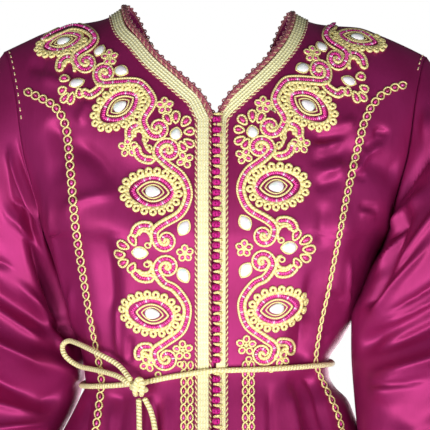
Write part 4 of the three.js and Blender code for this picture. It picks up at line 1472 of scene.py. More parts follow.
@dataclass(frozen=True)
class Rope(Finish):
    """Gold belt rope: fine close ribs across it, with painted highlights on the ribs and strands, painted
    shade between them, and painted glints.
    """

    slot = "belt_rope"
    shade: Colour = (0.84, 0.68, 0.26)
    light: Colour = (1.0, 0.97, 0.58)

    def mixed(self, made: Recipe) -> None:
        """Writes the finish into an empty recipe.

        Args:
            made: the recipe.
        """
        around, along = made.flat()
        rib = made.wound(5.0)
        strand = (around * 8.0 - along * 3.0).wave()
        glint = made.noise(500.0)
        # painted highlights on ribs and strands, painted shade between them, painted glints
        share = (rib * 0.7 + strand * 0.15 + glint * 0.4 - 0.1).clipped()
        made.feed(
            Base_Color=made.mix(share, self.shade, self.light),
            Metallic=0.05,
            Sheen_Weight=0.1,
            Roughness=glint * 0.2 + 0.42,
            Normal=made.bump(rib + strand * 0.3, 0.0008, 0.9),
        )


# ---- satin panels ----
BODY_FOLDS = {
    Facing.FRONT: (
        # the wearer's right bodice
        soft(7, 2.6, (-186, -52), (-157, -60), (-128, -72)),
        soft(8, -2.2, (-196, -40), (-172, -44)),
        soft(5, 2.2, (-127, -76), (-134, -90), (-141, -104)),
        soft(8, -4, (-168, -95), (-160, -125), (-158, -170)),
        soft(8, -3.4, (-150, -118), (-120, -140), (-96, -176)),
        crisp(6, 3.2, (-156, -190), (-128, -178), (-96, -172)),
        crisp(5, 3, (-166, -172), (-160, -240), (-148, -302)),
        crisp(3.5, 2.8, (-147, -262), (-147, -322)),
        crisp(3.5, 3, (-101, -275), (-101, -342)),
        soft(7, -2.2, (-112, -200), (-106, -260), (-104, -300)),
        soft(2.8, -1.2, (-20, -156), (-32, -158)),
        soft(2.8, -1.2, (-20, -218), (-34, -217)),
        soft(2.8, -1.2, (-20, -244), (-33, -247)),
        soft(4.5, -2.2, (-128, -300), (-124, -345)),
        soft(4, -2, (-85, -315), (-87, -347)),
        soft(4, -1.6, (-52, -325), (-52, -350)),
        # the wearer's left bodice
        crisp(3.5, -3.4, (160, -113), (168, -109), (179, -115)),
        crisp(5.5, 4.2, (180, -117), (158, -131), (147, -144), (136, -155)),
        soft(7, -3.4, (176, -112), (160, -122), (150, -130)),
        crisp(4, 3.4, (94, -127), (113, -124), (134, -118)),
        soft(5, 2.2, (123, -104), (143, -99)),
        crisp(4.2, 3.4, (100, -153), (118, -149), (133, -143)),
        soft(4.5, -2.4, (92, -117), (115, -114), (137, -112)),
        soft(4.5, -2.4, (92, -143), (114, -137), (135, -131)),
        soft(5, -2.2, (97, -167), (114, -163), (129, -158)),
        soft(2.8, -2, (138, -153), (154, -159)),
        soft(3, -2.2, (140, -185), (162, -190)),
        soft(3.5, 1.8, (141, -190), (160, -196)),
        soft(8, -2.6, (110, -179), (106, -205), (103, -229)),
        soft(12, 2.6, (128, -180), (126, -240), (122, -300)),
        crisp(3.5, 3.2, (134, -232), (134, -299)),
        soft(5.5, -4.6, (97, -244), (94, -300), (91, -345)),
        soft(2.6, -2, (135, -266), (141, -277)),
        soft(2.6, -1.8, (114, -273), (129, -281)),
        soft(4, -2, (70, -318), (68, -345)),
        soft(4, -2, (113, -312), (108, -343)),
        soft(4, -1.4, (45, -325), (45, -348)),
        # below the belt: short gathers that open into the skirt's flutes
        crisp(5.5, -3.6, (-128, -378), (-134, -410), (-140, -470)),
        soft(6, 3.8, (-104, -376), (-108, -420), (-112, -500)),
        soft(5, -3, (-60, -376), (-62, -440)),
        soft(6, 2.6, (-48, -374), (-48, -470)),
        crisp(5.5, -4.6, (88, -352), (104, -372), (118, -430)),
        soft(6.5, 4, (72, -360), (82, -410), (90, -520)),
        soft(5.5, -3.2, (56, -362), (58, -450)),
        soft(7, 4, (130, -362), (144, -420), (152, -520)),
        soft(7, 3.6, (-150, -395), (-160, -460), (-172, -560)),
        soft(12, 5, (80, -560), (86, -760), (92, -990)),
        soft(12, -5, (-90, -540), (-98, -760), (-110, -990)),
        soft(13, 5, (-170, -600), (-190, -800), (-210, -990)),
        soft(13, -5, (175, -580), (196, -780), (215, -990)),
    ),
    Facing.BACK: (
        soft(8, 3.4, (-150, -110), (-110, -128), (-60, -132)),
        soft(8, 3.4, (160, -120), (118, -140), (70, -146)),
        soft(9, -3, (-160, -160), (-110, -180), (-50, -176)),
        soft(9, -3, (150, -175), (100, -200), (46, -196)),
        crisp(6, 4, (-120, -230), (-108, -290), (-96, -345)),
        crisp(6, 4, (122, -250), (108, -300), (94, -345)),
        soft(7, 3.4, (-34, -260), (-30, -345)),
        soft(6, -3.2, (30, -280), (28, -345)),
        soft(5, 2.2, (-4, -300), (-4, -348)),
        soft(7, 4.4, (-90, -372), (-104, -430), (-112, -540)),
        crisp(5.5, -4, (-60, -370), (-66, -440)),
        crisp(5.5, -4, (56, -366), (60, -440)),
        soft(7, 4.4, (88, -366), (100, -430), (108, -540)),
        soft(6, -3, (-20, -372), (-22, -450)),
        soft(6, 3, (22, -368), (24, -470)),
        soft(14, -5.6, (-150, -560), (-170, -760), (-190, -990)),
        soft(14, 5.6, (150, -540), (172, -760), (196, -990)),
        soft(14, -5, (-6, -600), (-2, -990)),
    ),
}
SLEEVE_FOLDS = {               # measured round the arm from its top over the front, and down it
    Side.RIGHT: (
        soft(9, 5, (105, 34), (140, 40), (185, 34)),
        soft(6.5, -5, (110, 10), (150, 14), (190, 12)),
        crisp(5.5, -5, (132, 92), (143, 74), (170, 60)),
        soft(9, 4.4, (115, 112), (150, 104), (185, 120)),
        crisp(6, -4, (60, 175), (100, 182), (135, 172)),
        soft(8, 5, (135, 185), (165, 235), (190, 300)),
        soft(10, -9, (184, 110), (192, 200), (198, 290)),
        crisp(6, 5.2, (30, 225), (110, 240), (160, 275)),
        crisp(6, 5.6, (20, 262), (100, 275), (170, 320)),
        soft(6, -5, (20, 290), (80, 310), (160, 352)),
        crisp(7, 5.2, (10, 312), (90, 345), (185, 380)),
        crisp(7, 5.6, (60, 376), (110, 392), (200, 388)),
        crisp(5.5, -4.6, (50, 400), (120, 404), (195, 400)),
        soft(8, 4.4, (40, 428), (120, 440), (190, 436)),
        soft(11, 3, (50, 60), (90, 110), (120, 150)),
        soft(9, -2.6, (110, 40), (130, 90), (140, 130)),
        soft(12, 4.6, (30, 500), (110, 520), (190, 505)),
        crisp(8, 5, (300, 220), (350, 240), (420, 232)),
        soft(8, -4.8, (290, 270), (360, 300), (440, 290)),
        crisp(8, 5.2, (290, 330), (360, 356), (440, 360)),
        soft(9, -5, (290, 390), (360, 400), (450, 410)),
        soft(10, -3.4, (300, 100), (350, 140), (400, 150)),
        soft(12, 4.6, (300, 480), (370, 500), (440, 520)),
    ),
    Side.LEFT: (
        crisp(8, -5.6, (172, 10), (140, 26), (100, 50), (80, 76)),
        soft(9, 5, (196, 26), (155, 54), (115, 86)),
        soft(10, 3.6, (100, 12), (80, 36), (64, 60)),
        crisp(5, -4, (196, 58), (170, 62), (150, 80)),
        crisp(6, 4.4, (150, 72), (185, 90), (205, 130)),
        soft(7, 4.4, (70, 105), (130, 118), (175, 160)),
        soft(8, 5, (120, 135), (160, 175), (190, 225)),
        crisp(6, -5.6, (50, 170), (110, 205), (175, 222)),
        crisp(6.5, 5.2, (40, 196), (120, 228), (190, 244)),
        soft(6.5, -5.2, (30, 222), (110, 255), (190, 282)),
        soft(8, 4.8, (30, 252), (110, 290), (200, 314)),
        crisp(5, -4, (120, 316), (160, 326), (200, 324)),
        crisp(9, 6, (40, 300), (90, 350), (140, 400)),
        soft(7, -5.4, (60, 330), (120, 376), (180, 410)),
        soft(10, 4.8, (50, 430), (120, 450), (190, 440)),
        soft(12, -4.4, (40, 500), (120, 520), (190, 530)),
        crisp(8, 5, (300, 210), (360, 230), (430, 226)),
        soft(8, -4.8, (290, 280), (360, 290), (440, 300)),
        crisp(8, 5.2, (290, 345), (360, 340), (440, 350)),
        soft(9, -5, (300, 400), (370, 420), (440, 415)),
        soft(10, -3.4, (300, 110), (350, 135), (400, 130)),
        soft(12, 4.6, (300, 470), (370, 500), (440, 510)),
    ),
}


def panel(name: str, spots: Array, cut: Spot) -> Piece:
    """A panel of satin from a grid of points on its outside.

    Args:
        name: the piece's and its solid's name.
        spots: the grid, as (rows, columns, 3).
        cut: the width and length it is cut to, before it is sewn.

    Returns:
        The piece, whose wall goes inwards.
    """
    rows, columns, _ = spots.shape
    made = Gathered()
    flat = np.stack(np.meshgrid(np.linspace(0, cut[0], columns), np.linspace(0, cut[1], rows)), axis=-1)
    made.lay(spots, flat)
    piece = made.piece(f"cloth_{name}", Satin(), (name,))
    outward(piece, "sleeve" in name)
    wall = piece.modifiers.new("wall", "SOLIDIFY")
    wall.thickness, wall.offset = CLOTH, -1.0
    return piece


def outward(piece: Piece, tube: bool) -> None:
    """Turns a sheet's faces away from the middle of the body, or of the arm.

    Args:
        piece: the sheet.
        tube: True for a sleeve, which goes round an arm.
    """
    mesh = piece.data
    middle = Vector(np.mean([vertex.co for vertex in mesh.vertices], axis=0)) if tube else Vector((0, 0, 0))
    total = 0.0
    for face in mesh.polygons:
        away = face.center - middle
        total += face.normal.y * away.y * face.area
    if total < 0:
        mesh.flip_normals()


@dataclass
class Body:
    """The two fronts and the back."""

    cell: float = 0.0042       # size of the back's facets
    fine: float = 0.0032       # size of the fronts' facets
    columns: int = 82          # places across a front
    plain: float = -0.40       # the level below which there are only long flutes
    front_cut: Spot = (0.33, 1.04)
    front_area: float = 0.25
    back_cut: Spot = (0.66, 1.03)
    back_area: float = 0.50
    form: BodyForm = field(default_factory=lambda: BodyForm(BODY_FOLDS))

    def _levels(self, cell: float) -> Array:
        """Levels from the hem to the shoulder: a facet apart, and twice that on the plain skirt.

        Args:
            cell: the size of a facet.

        Returns:
            The levels.
        """
        plain = np.linspace(-1, self.plain, round(SKIRT * (1 + self.plain) / cell / 2), endpoint=False)
        creased = np.linspace(self.plain, 0, round(-SKIRT * self.plain / cell), endpoint=False)
        yoke = np.linspace(0, 1, round(0.30 / cell))
        return np.concatenate([plain, creased, yoke])

    def front(self, side: Side) -> Piece:
        """One front, from its neck and centre edge to the side seam and armhole.

        Args:
            side: whose front.

        Returns:
            The piece.
        """
        levels = self._levels(self.fine)
        edge = np.array([self.form.front_edge(side, level)[0] for level in levels])
        inner, outer = self.form.turn_at(side, edge, levels), self.form.outer(side, levels)
        share = np.linspace(0, 1, self.columns)
        turn = inner[:, None] + (outer - inner)[:, None] * share
        spots = self.form.point(side, Facing.FRONT, turn, np.broadcast_to(levels[:, None], turn.shape))
        return panel(f"front_{side.tag}", spots, self.front_cut)

    def back(self) -> Piece:
        """The back in one piece.

        Returns:
            The piece.
        """
        levels = self._levels(self.cell)
        halves = []
        for side in Side:
            neck = self.form.neck_share(side)
            inside = neck * np.sin(np.linspace(0, 1, 20) * math.pi / 2)
            share = np.concatenate([inside, np.linspace(neck, 1, 40)[1:]])[None] * np.ones((len(levels), 1))
            rows = levels[:, None]
            level = np.where(rows > 0, rows * self.form.back_top(side, share), rows)
            turn = share * self.form.outer(side, level)
            halves.append(self.form.point(side, Facing.BACK, turn, level))
        spots = np.concatenate([halves[0][:, ::-1], halves[1][:, 1:]], axis=1)
        return panel("back", spots, self.back_cut)


@dataclass
class Sleeve:
    """A long sleeve, a tube from its armhole to an open cuff."""

    form: SleeveForm
    cell: float = 0.0038       # size of its facets
    cut: Spot = (SLEEVE_GIRTH, 0.66)
    area: float = 0.29

    def build(self) -> None:
        """The sleeve in one piece."""
        down = np.linspace(0, SLEEVE_LENGTH, round(SLEEVE_LENGTH / self.cell))
        angle = np.linspace(0, CIRCLE, round(SLEEVE_GIRTH / self.cell) + 1)
        spots = self.form.point(*np.broadcast_arrays(angle, down[:, None]))
        spots[:, -1] = spots[:, 0]
        panel(f"sleeve_{self.form.side.tag}", spots, self.cut)


# ---- woven and twisted trim ----

@dataclass
class Edges:
    """What runs along the neck and centre-front edges: braid, twisted edgings and the neck cord."""

    form: BodyForm
    grounds: dict[Side, Ground]
    width: float = 0.012
    plaits: int = 4
    fine: float = 0.0010       # the step along the braid
    rows: float = 2.8          # steps to a stitch
    tucked: float = 0.0097     # the left braid shows this wide beside the buttons, the rest is tucked under
    lift: float = 0.0005
    crown: float = 0.0016      # how far each plait stands up
    stitch: float = 0.00022    # and each stitch on it
    overlap: float = 0.0016    # how far the left braid is lifted beside the buttons
    inset: dict[Side, Spot] = field(
        default_factory=lambda: {Side.RIGHT: (0.0062, 0.0034), Side.LEFT: (0.0004, 0.0034)})
    edging_inset: float = 0.0012
    edging_strand: float = 0.00072
    edging_pitch: float = 0.0056
    cord_step: float = 0.0011
    cord_strand: float = 0.00105
    cord_pitch: float = 0.0075
    scallop: float = 0.0021    # radius of the small rings along the neck cord
    scallop_pitch: float = 0.0092
    stitched: tuple[tuple[Side, float], ...] = ((Side.RIGHT, 0.40), (Side.LEFT, 0.70))

    def _edge(self, side: Side) -> tuple[Array, Array]:
        """The braid's inner line, a little in from a front's edge.

        Args:
            side: whose front.

        Returns:
            Evenly spaced places as (x, z) from the hem up, and the direction in from the edge.
        """
        levels = np.concatenate([np.linspace(-0.998, 0, 200, endpoint=False), np.linspace(0, 1, 160)])
        low, high = self.inset[side]
        rows = []
        for level in levels:
            x, lean = self.form.front_edge(side, float(level))
            x += (low + (high - low) * float(eased(x / 0.015))) * math.hypot(1, lean)
            turn = self.form.turn_at(side, np.array(x), np.array(level))
            rows.append(self.form.smooth_point(side, Facing.FRONT, turn, np.array(level))[[0, 2]])
        path = evened(np.array(rows), self.fine)
        along = headed(path, 12)
        return path, np.stack([along[:, 1], -along[:, 0]], axis=1) * side.value

    def _wide(self, side: Side, path: Array) -> Array:
        """The width of braid that shows at each place of its inner line."""
        low = self.tucked if side is Side.LEFT else self.width
        return low + (self.width - low) * eased((path[:, 1] + 0.112) / 0.025)

    def _woven(self, name: str, spots: Array, ups: Array, stand: Array, finish: Braid) -> None:
        """A braid from places on the cloth, row by row.

        Args:
            name: the name of the solid that it stands for.
            spots: the places, as (rows * columns, 3).
            ups: the cloth's directions there.
            stand: how far each place stands off the cloth, as (rows, columns).
            finish: what it is dressed in.
        """
        rows, columns = stand.shape
        grid = (spots + ups * stand.reshape(-1, 1)).reshape(rows, columns, 3)
        made = Gathered()
        share = np.linspace(0, 1, columns)
        made.lay(grid, paired(share * self.plaits, (np.arange(rows) / self.rows)[:, None]))
        made.piece(f"{name}_woven", finish, (name,))

    def _plaits(self, low: float) -> Array:
        """How far each column of a braid stands up.

        Args:
            low: the share of the crown that it has between two plaits.

        Returns:
            The height of each column.
        """
        share = np.linspace(0, 1, self.plaits * 5 + 1)
        return self.crown * (low + (1 - low) * np.abs(np.sin(math.pi * share * self.plaits)) ** 0.7)

    def braid(self, side: Side) -> None:
        """The woven braid down one front.

        Args:
            side: whose front.
        """
        path, across = self._edge(side)
        relief = self._plaits(0.55)
        share = np.linspace(0, 1, len(relief))
        flat = path[:, None] + across[:, None] * (share * self._wide(side, path)[:, None])[..., None]
        spots, ups = self.grounds[side].drop(flat.reshape(-1, 2))
        turns = np.arange(len(path))[:, None] / self.rows + 0.5 * np.abs(share * 8 % 2 - 1)
        stand = relief + self.stitch * (0.5 + 0.5 * np.sin(CIRCLE * turns))
        stand[:, 0] = stand[:, -1] = 0
        over = self.overlap if side is Side.LEFT else 0.0
        stand += self.lift + over * eased((-path[:, 1] - 0.10) / 0.02)[:, None]
        finish = Braid()
        # The left braid's copy has paler shade and light colours: painted light that makes up for the shadow
        # the buttons cast on it.
        if side is Side.LEFT:
            finish = Braid(shade=(0.95, 0.86, 0.38), light=(1.0, 0.97, 0.60), weave="narrow")
        self._woven(f"braid_{side.tag}", spots, ups, stand, finish)

    def _strands(self, made: Gathered, path: Array, up: Array, radius: float, pitch: float,
                 tones: tuple[float, ...], hand: int) -> None:
        """Strands that twist round a path.

        Args:
            made: where they go.
            path: evenly spaced places along the twist's middle.
            up: a direction at each place away from the cloth.
            radius: the radius of one strand.
            pitch: the length of a full turn.
            tones: a tone for each strand.
            hand: 1 or -1, which way they turn.
        """
        _, normal, across = framed(path, up)
        for k, tone in enumerate(tones):
            turn = hand * CIRCLE * (reached(path) / pitch) + CIRCLE * k / len(tones)
            swing = (np.cos(turn)[:, None] * normal + np.sin(turn)[:, None] * across) * radius * 0.95
            made.cord(path + swing, radius, tone, sides=5, up=normal)

    def edging(self, side: Side) -> None:
        """The thin twisted edgings of one front's braid: outside it, and inside it as well on the right.

        Args:
            side: whose front.
        """
        made = Gathered()
        path, across = self._edge(side)
        runs = [path + across * (self._wide(side, path) + self.edging_inset)[:, None]]
        if side is Side.RIGHT:
            runs.append((path - across * self.edging_inset)[path[:, 1] < -0.086])
        for run in runs:
            spots, ups = self.grounds[side].drop(evened(run, 0.00105), 0.0011)
            self._strands(made, spots, ups, self.edging_strand, self.edging_pitch, (0.0, 1.0), side.value)
        made.piece(f"edging_{side.tag}", Ply())

    def _scoop(self, share: Array) -> list[Array]:
        """The back's neckline on each side.

        Args:
            share: places from the middle, at 0, to the shoulder, at 1.

        Returns:
            The places on the right and on the left.
        """
        runs = []
        for side in Side:
            part = share * self.form.neck_share(side)
            level = self.form.back_top(side, part)
            runs.append(self.form.point(side, Facing.BACK, part * self.form.outer(side, level), level))
        return runs

    def neckline(self) -> Array:
        """The neck edge all round.

        Returns:
            Places from the foot of the V up the right, behind, and down the left.
        """
        fronts = []
        for side in Side:
            run = []
            for level in np.linspace(NECK_LEVEL + 0.01, 1, 60):
                x, _ = self.form.front_edge(side, float(level))
                turn = self.form.turn_at(side, np.array(x), np.array(level))
                run.append(self.form.point(side, Facing.FRONT, turn, np.array(level)))
            fronts.append(np.array(run))
        right, left = self._scoop(np.sin(np.linspace(0.97, 0, 30) * math.pi / 2))
        return np.concatenate([fronts[0], right, left[-2::-1], fronts[1][::-1]])

    def neck_cord(self) -> None:
        """Two twisted cords side by side round the neck edge, with a row of small scallops."""
        made = Gathered()
        path = smoothed(evened(self.neckline(), self.cord_step), 30)
        away = unit(path - (*path.mean(0)[:2], -0.10))
        facing = np.where(path[:, 1] < 0, -1.0, 1.0) * (0.35 + np.abs(path[:, 1]) * 6)
        out = unit(np.stack([path[:, 0] * 0.3, facing, np.full(len(path), 0.35)], axis=1))
        along, normal, across = framed(path, out)
        inner = across * np.sign(np.sum(across * -away, axis=1))[:, None]
        foot = 1.25 * (1 - eased((path[:, 2] + 0.092) / 0.03))
        for k, hand, tones in ((-0.95, 1, (0.0, 0.05, 0.50)), (0.05, -1, (0.0, 0.12, 0.0))):
            centre = path + normal * 0.0018 + inner * ((k - foot * 0.8) * 2 * self.cord_strand)[:, None]
            self._strands(made, centre, normal, self.cord_strand, self.cord_pitch, tones, hand)
        turn = np.linspace(0, CIRCLE, 12, endpoint=False)
        count = round(len(path) * self.cord_step / self.scallop_pitch)
        for stop in np.linspace(6, len(path) - 7, count).astype(int):
            middle = path[stop] + normal[stop] * 0.0016 + inner[stop] * (0.0012 - 0.0018 * foot[stop])
            ring = middle + self.scallop * ringed(turn, along[stop], inner[stop])
            made.cord(ring, 0.0008, 0.05 + 0.25 * (stop % 3 == 0), sides=5, up=normal[stop], closed=True)
        made.piece("neck_cord_twisted", Ply(), ("neck_cord",))

    def stitches(self) -> None:
        """A row of spaced stitches beside the upper armhole on both sides."""
        made = Gathered()
        for side, foot in self.stitched:
            levels = np.linspace(foot, 0.96, 90)
            turn = self.form.turn_at(side, self.form.armhole(levels) - 0.0030, levels)
            path = evened(self.form.point(side, Facing.FRONT, turn, levels), 0.0012)
            for first in range(0, len(path) - 3, 7):
                made.cord(path[first:first + 4] + (0.0, -0.0006, 0.0004), 0.00065, 0.85, sides=5)
        made.piece("armhole_stitches", Ply())

    def behind(self, back: Ground) -> None:
        """The woven braid round the back of the neck.

        Args:
            back: the back's cloth.
        """
        right, left = self._scoop(np.sin(np.linspace(1, 0, 50) * math.pi / 2))
        line = smoothed(evened(np.concatenate([right, left[-2::-1]]), self.fine), 8)
        _, ups = back.under(line + (0, 0.06, 0), np.array((0.0, -1.0, 0.0)))
        down = unit(np.cross(unit(np.gradient(line, axis=0)), ups))
        down *= np.where(down[:, 2:] > 0, -1, 1)
        relief = self._plaits(0.5)
        relief[0] = relief[-1] = 0
        reach = self.inset[Side.RIGHT][1] + np.linspace(0, 1, len(relief)) * self.width
        raw = line[:, None] + down[:, None] * reach[None, :, None] + ups[:, None] * 0.02
        spots, lean = back.under(raw.reshape(-1, 3), np.repeat(-ups, len(relief), axis=0))
        stand = np.broadcast_to(self.lift + relief, (len(line), len(relief)))
        self._woven("braid_back", spots, lean, stand, Braid())


@dataclass
class Buttons:
    """The centre-front strand of knotted buttons and the gold loops that hold them."""

    grounds: dict[Side, Ground]
    radius: float = 0.0046
    cord: float = 0.00135
    bights: int = 5
    x: float = 0.0009
    squash: float = 0.88       # a button's height as a share of its width
    loop_cord: float = 0.00085
    loop_ends: tuple[float, ...] = (0.0066, 0.0042, 0.0008)
    loop_half: float = 0.0006
    loop_arch: tuple[Spot, ...] = ((-0.002, 0.0072), (0.003, 0.0080), (0.0055, 0.0060), (0.0066, 0.0040))

    def heights(self) -> tuple[Array, Array]:
        """Where the buttons are.

        Returns:
            Heights of those above and below the belt.
        """
        room = ROPE_D / 2 + 0.0053
        belt = float(belt_z(0.0))
        upper = np.arange(FIRST_BUTTON_Z, belt + room + BUTTON_PITCH * 0.3, -BUTTON_PITCH)
        return upper, np.arange(belt - room, LAST_BUTTON_Z, -BUTTON_PITCH)

    def _knot(self) -> Array:
        """A cord's route round a button: up and down over the ball as it goes round it twice.

        Returns:
            Its places round the button's middle.
        """
        t = np.linspace(0, CIRCLE, 44, endpoint=False)
        height = 0.86 * np.sin(self.bights * t)
        wide = np.sqrt(1 - height**2)
        reach = (self.radius - self.cord * 1.05) * (1 + 0.07 * np.cos(self.bights * 2 * t + 0.6))
        return np.stack([wide * np.cos(2 * t), wide * np.sin(2 * t), height], axis=1) * reach[:, None]

    def strand(self, name: str, heights: Array) -> None:
        """One run of buttons.

        Args:
            name: the name of the solid that it stands for.
            heights: the heights of its buttons.
        """
        made = Gathered()
        spots, _ = self.grounds[Side.LEFT].drop(np.stack([np.full(len(heights), 0.0014), heights], axis=1))
        route = self._knot()
        core = flowing(((0.0, -0.8), (0.62, -0.62), (0.86, 0.0), (0.62, 0.62), (0.0, 0.8)), 2)
        turn = np.linspace(0, CIRCLE, 9)
        wide, high = core[:, :1], core[:, 1:]
        ball = np.stack(np.broadcast_arrays(wide * np.cos(turn), wide * np.sin(turn), high), axis=-1)
        neck = self.radius * 0.5
        for k, spot in enumerate(spots):
            centre = np.array((self.x, spot[1] - self.radius - 0.0016, heights[k]))
            wobble = (0.00025 * math.sin(2.3 * k), 0, 0.0002 * math.sin(3.7 * k))
            turned = np.insert(spun(route, 1.1 * k), 2, route[:, 2], axis=1)
            path = centre + wobble + turned * (1, 1, self.squash)
            # The knot's cord takes a middle tone; the ball under it and the link to the button above take a
            # low tone, painted shade between the cord's turns.
            made.cord(path, self.cord, 0.22, sides=5, up=unit(turned), closed=True)
            made.lay(centre + ball * (self.radius - self.cord), np.zeros((len(core), len(turn), 2)), -0.5)
            if k:
                link = np.array([centre + (0, 0, neck), centre + (0, 0.0004, BUTTON_PITCH - neck)])
                made.cord(link, 0.0013, -0.4, sides=5)
        made.piece(f"{name}_knotted", Silk(), (name,))

    def loops(self) -> None:
        """Gold loops from the right front's braid round the neck of each button, and their couched foot."""
        made = Gathered()
        for heights in self.heights():
            for k, z in enumerate(heights + BUTTON_PITCH / 2):
                above = [(x, self.loop_half) for x in self.loop_ends]
                below = [(x, -self.loop_half) for x in self.loop_ends[::-1]]
                flat = flowing([*above, (-0.0018, 0.0009 * math.sin(2.9 * k)), *below], 3) + (0, z)
                braid = np.stack([np.abs(flat[:, 0]) + 0.0006, flat[:, 1]], axis=1)
                spots, _ = self.grounds[Side.LEFT].drop(braid)
                arch = np.interp(flat[:, 0], *zip(*self.loop_arch))
                made.cord(np.insert(flat, 1, spots[:, 1] - arch, axis=1), self.loop_cord, sides=5)
        made.piece("button_loops", GoldThread())


# ---- couched embroidery ----
class Shift(NamedTuple):
    """How far the left front's motifs lie from the mirror of the right's at one height, in millimetres."""

    z: float
    dx: float
    dz: float


SHIFTS = (Shift(-400, -2, 5), Shift(-170, -2, 5), Shift(-87, -3, 1), Shift(-22, -10, 4), Shift(30, -10, 4))
SHIFT_X = Profile([row.z for row in SHIFTS], [row.dx for row in SHIFTS])
SHIFT_Z = Profile([row.z for row in SHIFTS], [row.dz for row in SHIFTS])


class Almond(NamedTuple):
    """An almond medallion round a stone, in millimetres and degrees, as on the wearer's right front."""

    x: float
    z: float
    tilt: float
    size: float = 1.0
    bare: float = 99.0         # its loops are left out higher than this above its middle


class Scroll(NamedTuple):
    """A couched scroll: a stem between two curls, in millimetres; a turn below 0 winds clockwise."""

    head: Spot | None
    head_turns: float
    stem: tuple[Spot, ...]
    tail: Spot
    tail_turns: float
    over: int = 0              # how many of its first stops lie over the wearer's left shoulder, unseen


class Petal(NamedTuple):
    """A looped petal: its direction from the stone in degrees, its middle's distance, and its two halves."""

    turn: float
    reach: float
    long: float
    wide: float


class Flower(NamedTuple):
    """A fan of petals round a stone."""

    x: float
    z: float
    petals: tuple[Petal, ...]


class Drop(NamedTuple):
    """A teardrop stone and the way its tip points, in degrees."""

    x: float
    z: float
    tilt: float
    long: float = 6.2
    wide: float = 4.2


class Rosette(NamedTuple):
    """A ring of small loops."""

    x: float
    z: float
    loops: int
    reach: float


ALMONDS = (
    Almond(-151.8, -21.4, 6, 0.90, 5.0), Almond(-95.3, -86.4, 30, 0.96), Almond(-62.5, -171.6, -6),
    Almond(-63, -293.6, -4),
)
SCROLLS = (
    Scroll(None, 0,
           ((-172, -21), (-166, -16.5), (-155.5, -11.5), (-143.5, -7), (-132, -8.5), (-124, -12.8),
            (-119.8, -19.6), (-124.3, -26.6), (-137.4, -34.7), (-140.2, -40), (-136.4, -46.9)),
           (-129, -42.5), 1.25, 4),
    Scroll((-110.1, -53.8), -1.2,
           ((-118.5, -58.8), (-113.7, -63), (-99.9, -62.3), (-84.5, -61.5), (-73.9, -63.8), (-63.2, -76.8),
            (-63.2, -85.2), (-70.8, -96.7), (-71.5, -103.6), (-65.5, -114.3)),
           (-57.5, -108), 1.1),
    Scroll((-47.1, -131), -1.25,
           ((-58.5, -128.9), (-57.8, -134.2), (-47.9, -144.2), (-34.1, -154.9), (-27.2, -168.6),
            (-27.5, -180), (-35.1, -194.3), (-53, -205), (-60.5, -212), (-60.1, -220)),
           (-50, -220), 1.2),
    Scroll((-48.5, -247), -1.25,
           ((-58.5, -244.3), (-59, -250.5), (-51.2, -262.1), (-40.9, -267.2), (-30.5, -280), (-27.5, -292),
            (-33.2, -310.3), (-49.5, -322.7), (-60.5, -331), (-59, -341.9)),
           (-49, -338), 1.1),
)
HOOKS = (
    ((-140, -39.7), (-147.5, -37.2), (-154.1, -41.4), (-155.7, -48.2)),
    ((-114.3, -63.7), (-116, -69.5), (-125.1, -75.3), (-130.5, -73)),
    ((-74.3, -106), (-79.1, -105.6), (-83.6, -107.6), (-86, -111.3), (-85.8, -116.5)),
    ((-60.1, -139.3), (-66.6, -140), (-72.4, -138.5), (-76.7, -134.7), (-78.6, -129)),
    ((-61.9, -207.5), (-66.7, -206), (-72.9, -205.6), (-78.4, -208.4), (-80.6, -213)),
    ((-60.6, -256.8), (-68.8, -258.4), (-75.6, -257), (-80, -252.8)),
    ((-61.9, -327.5), (-67.4, -326.4), (-73.4, -326.8), (-76.6, -330.9), (-76.4, -335.8)),
)
TENDRILS = (                   # gold cord alone, from the inside of a hook to a small curl
    ((-151, -47), (-148.5, -42.6), (-143.6, -42.4), (-141, -46.5), (-140.6, -52)),
    ((-80.5, -117), (-80, -112.6), (-76.7, -111), (-72.6, -113), (-71.2, -117.5), (-70.4, -123.2),
     (-67.6, -129), (-64.2, -132.3)),
    ((-76.6, -214.6), (-73.4, -211), (-68.1, -211.6), (-64.5, -216.4), (-64, -221.6), (-66.2, -224.4)),
    ((-77.4, -249.4), (-72.2, -252.4), (-65.8, -251.3), (-63.6, -246.6), (-65, -241.6), (-68.4, -240.8)),
    ((-73.4, -337), (-71.5, -333), (-67.5, -335), (-65.5, -339.5), (-67, -343)),
)
FLOWERS = (
    Flower(-138.3, -61.8, (Petal(168, 12.5, 4.4, 4.0), Petal(211, 16.5, 4.2, 3.4), Petal(234, 20, 5.2, 3.2),
                           Petal(252, 17.5, 5.8, 3.2), Petal(282, 11.5, 4.6, 3.2))),
    Flower(-39.8, -114.1, (Petal(118, 17.0, 5.6, 3.3), Petal(89, 16.7, 5.8, 3.4), Petal(51, 15.9, 5.2, 3.6),
                           Petal(10, 13.8, 4.6, 3.3), Petal(-34, 15.9, 5.2, 3.2),
                           Petal(-60, 14.4, 5.2, 3.2))),
    Flower(-75.6, -233.5, (Petal(117, 15.3, 5.4, 3.3), Petal(152, 18.3, 6.0, 3.6), Petal(181, 19.4, 6.2, 3.8),
                           Petal(209, 18.0, 5.8, 3.5), Petal(241, 15.7, 5.4, 3.2))),
)
DROPS = (
    Drop(-115.5, -31, 60, 6.4, 4.8), Drop(-94, -51, -30, 6.8, 5.2), Drop(-138.5, -63, 20, 6.8, 4.8),
    Drop(-39.5, -114, 80, 6.0, 5.0), Drop(-31.5, -207.5, 60, 7.4, 5.3), Drop(-75.5, -232.5, 0, 7.3, 5.6),
    Drop(-32, -255, -60, 7.4, 5.3),
)
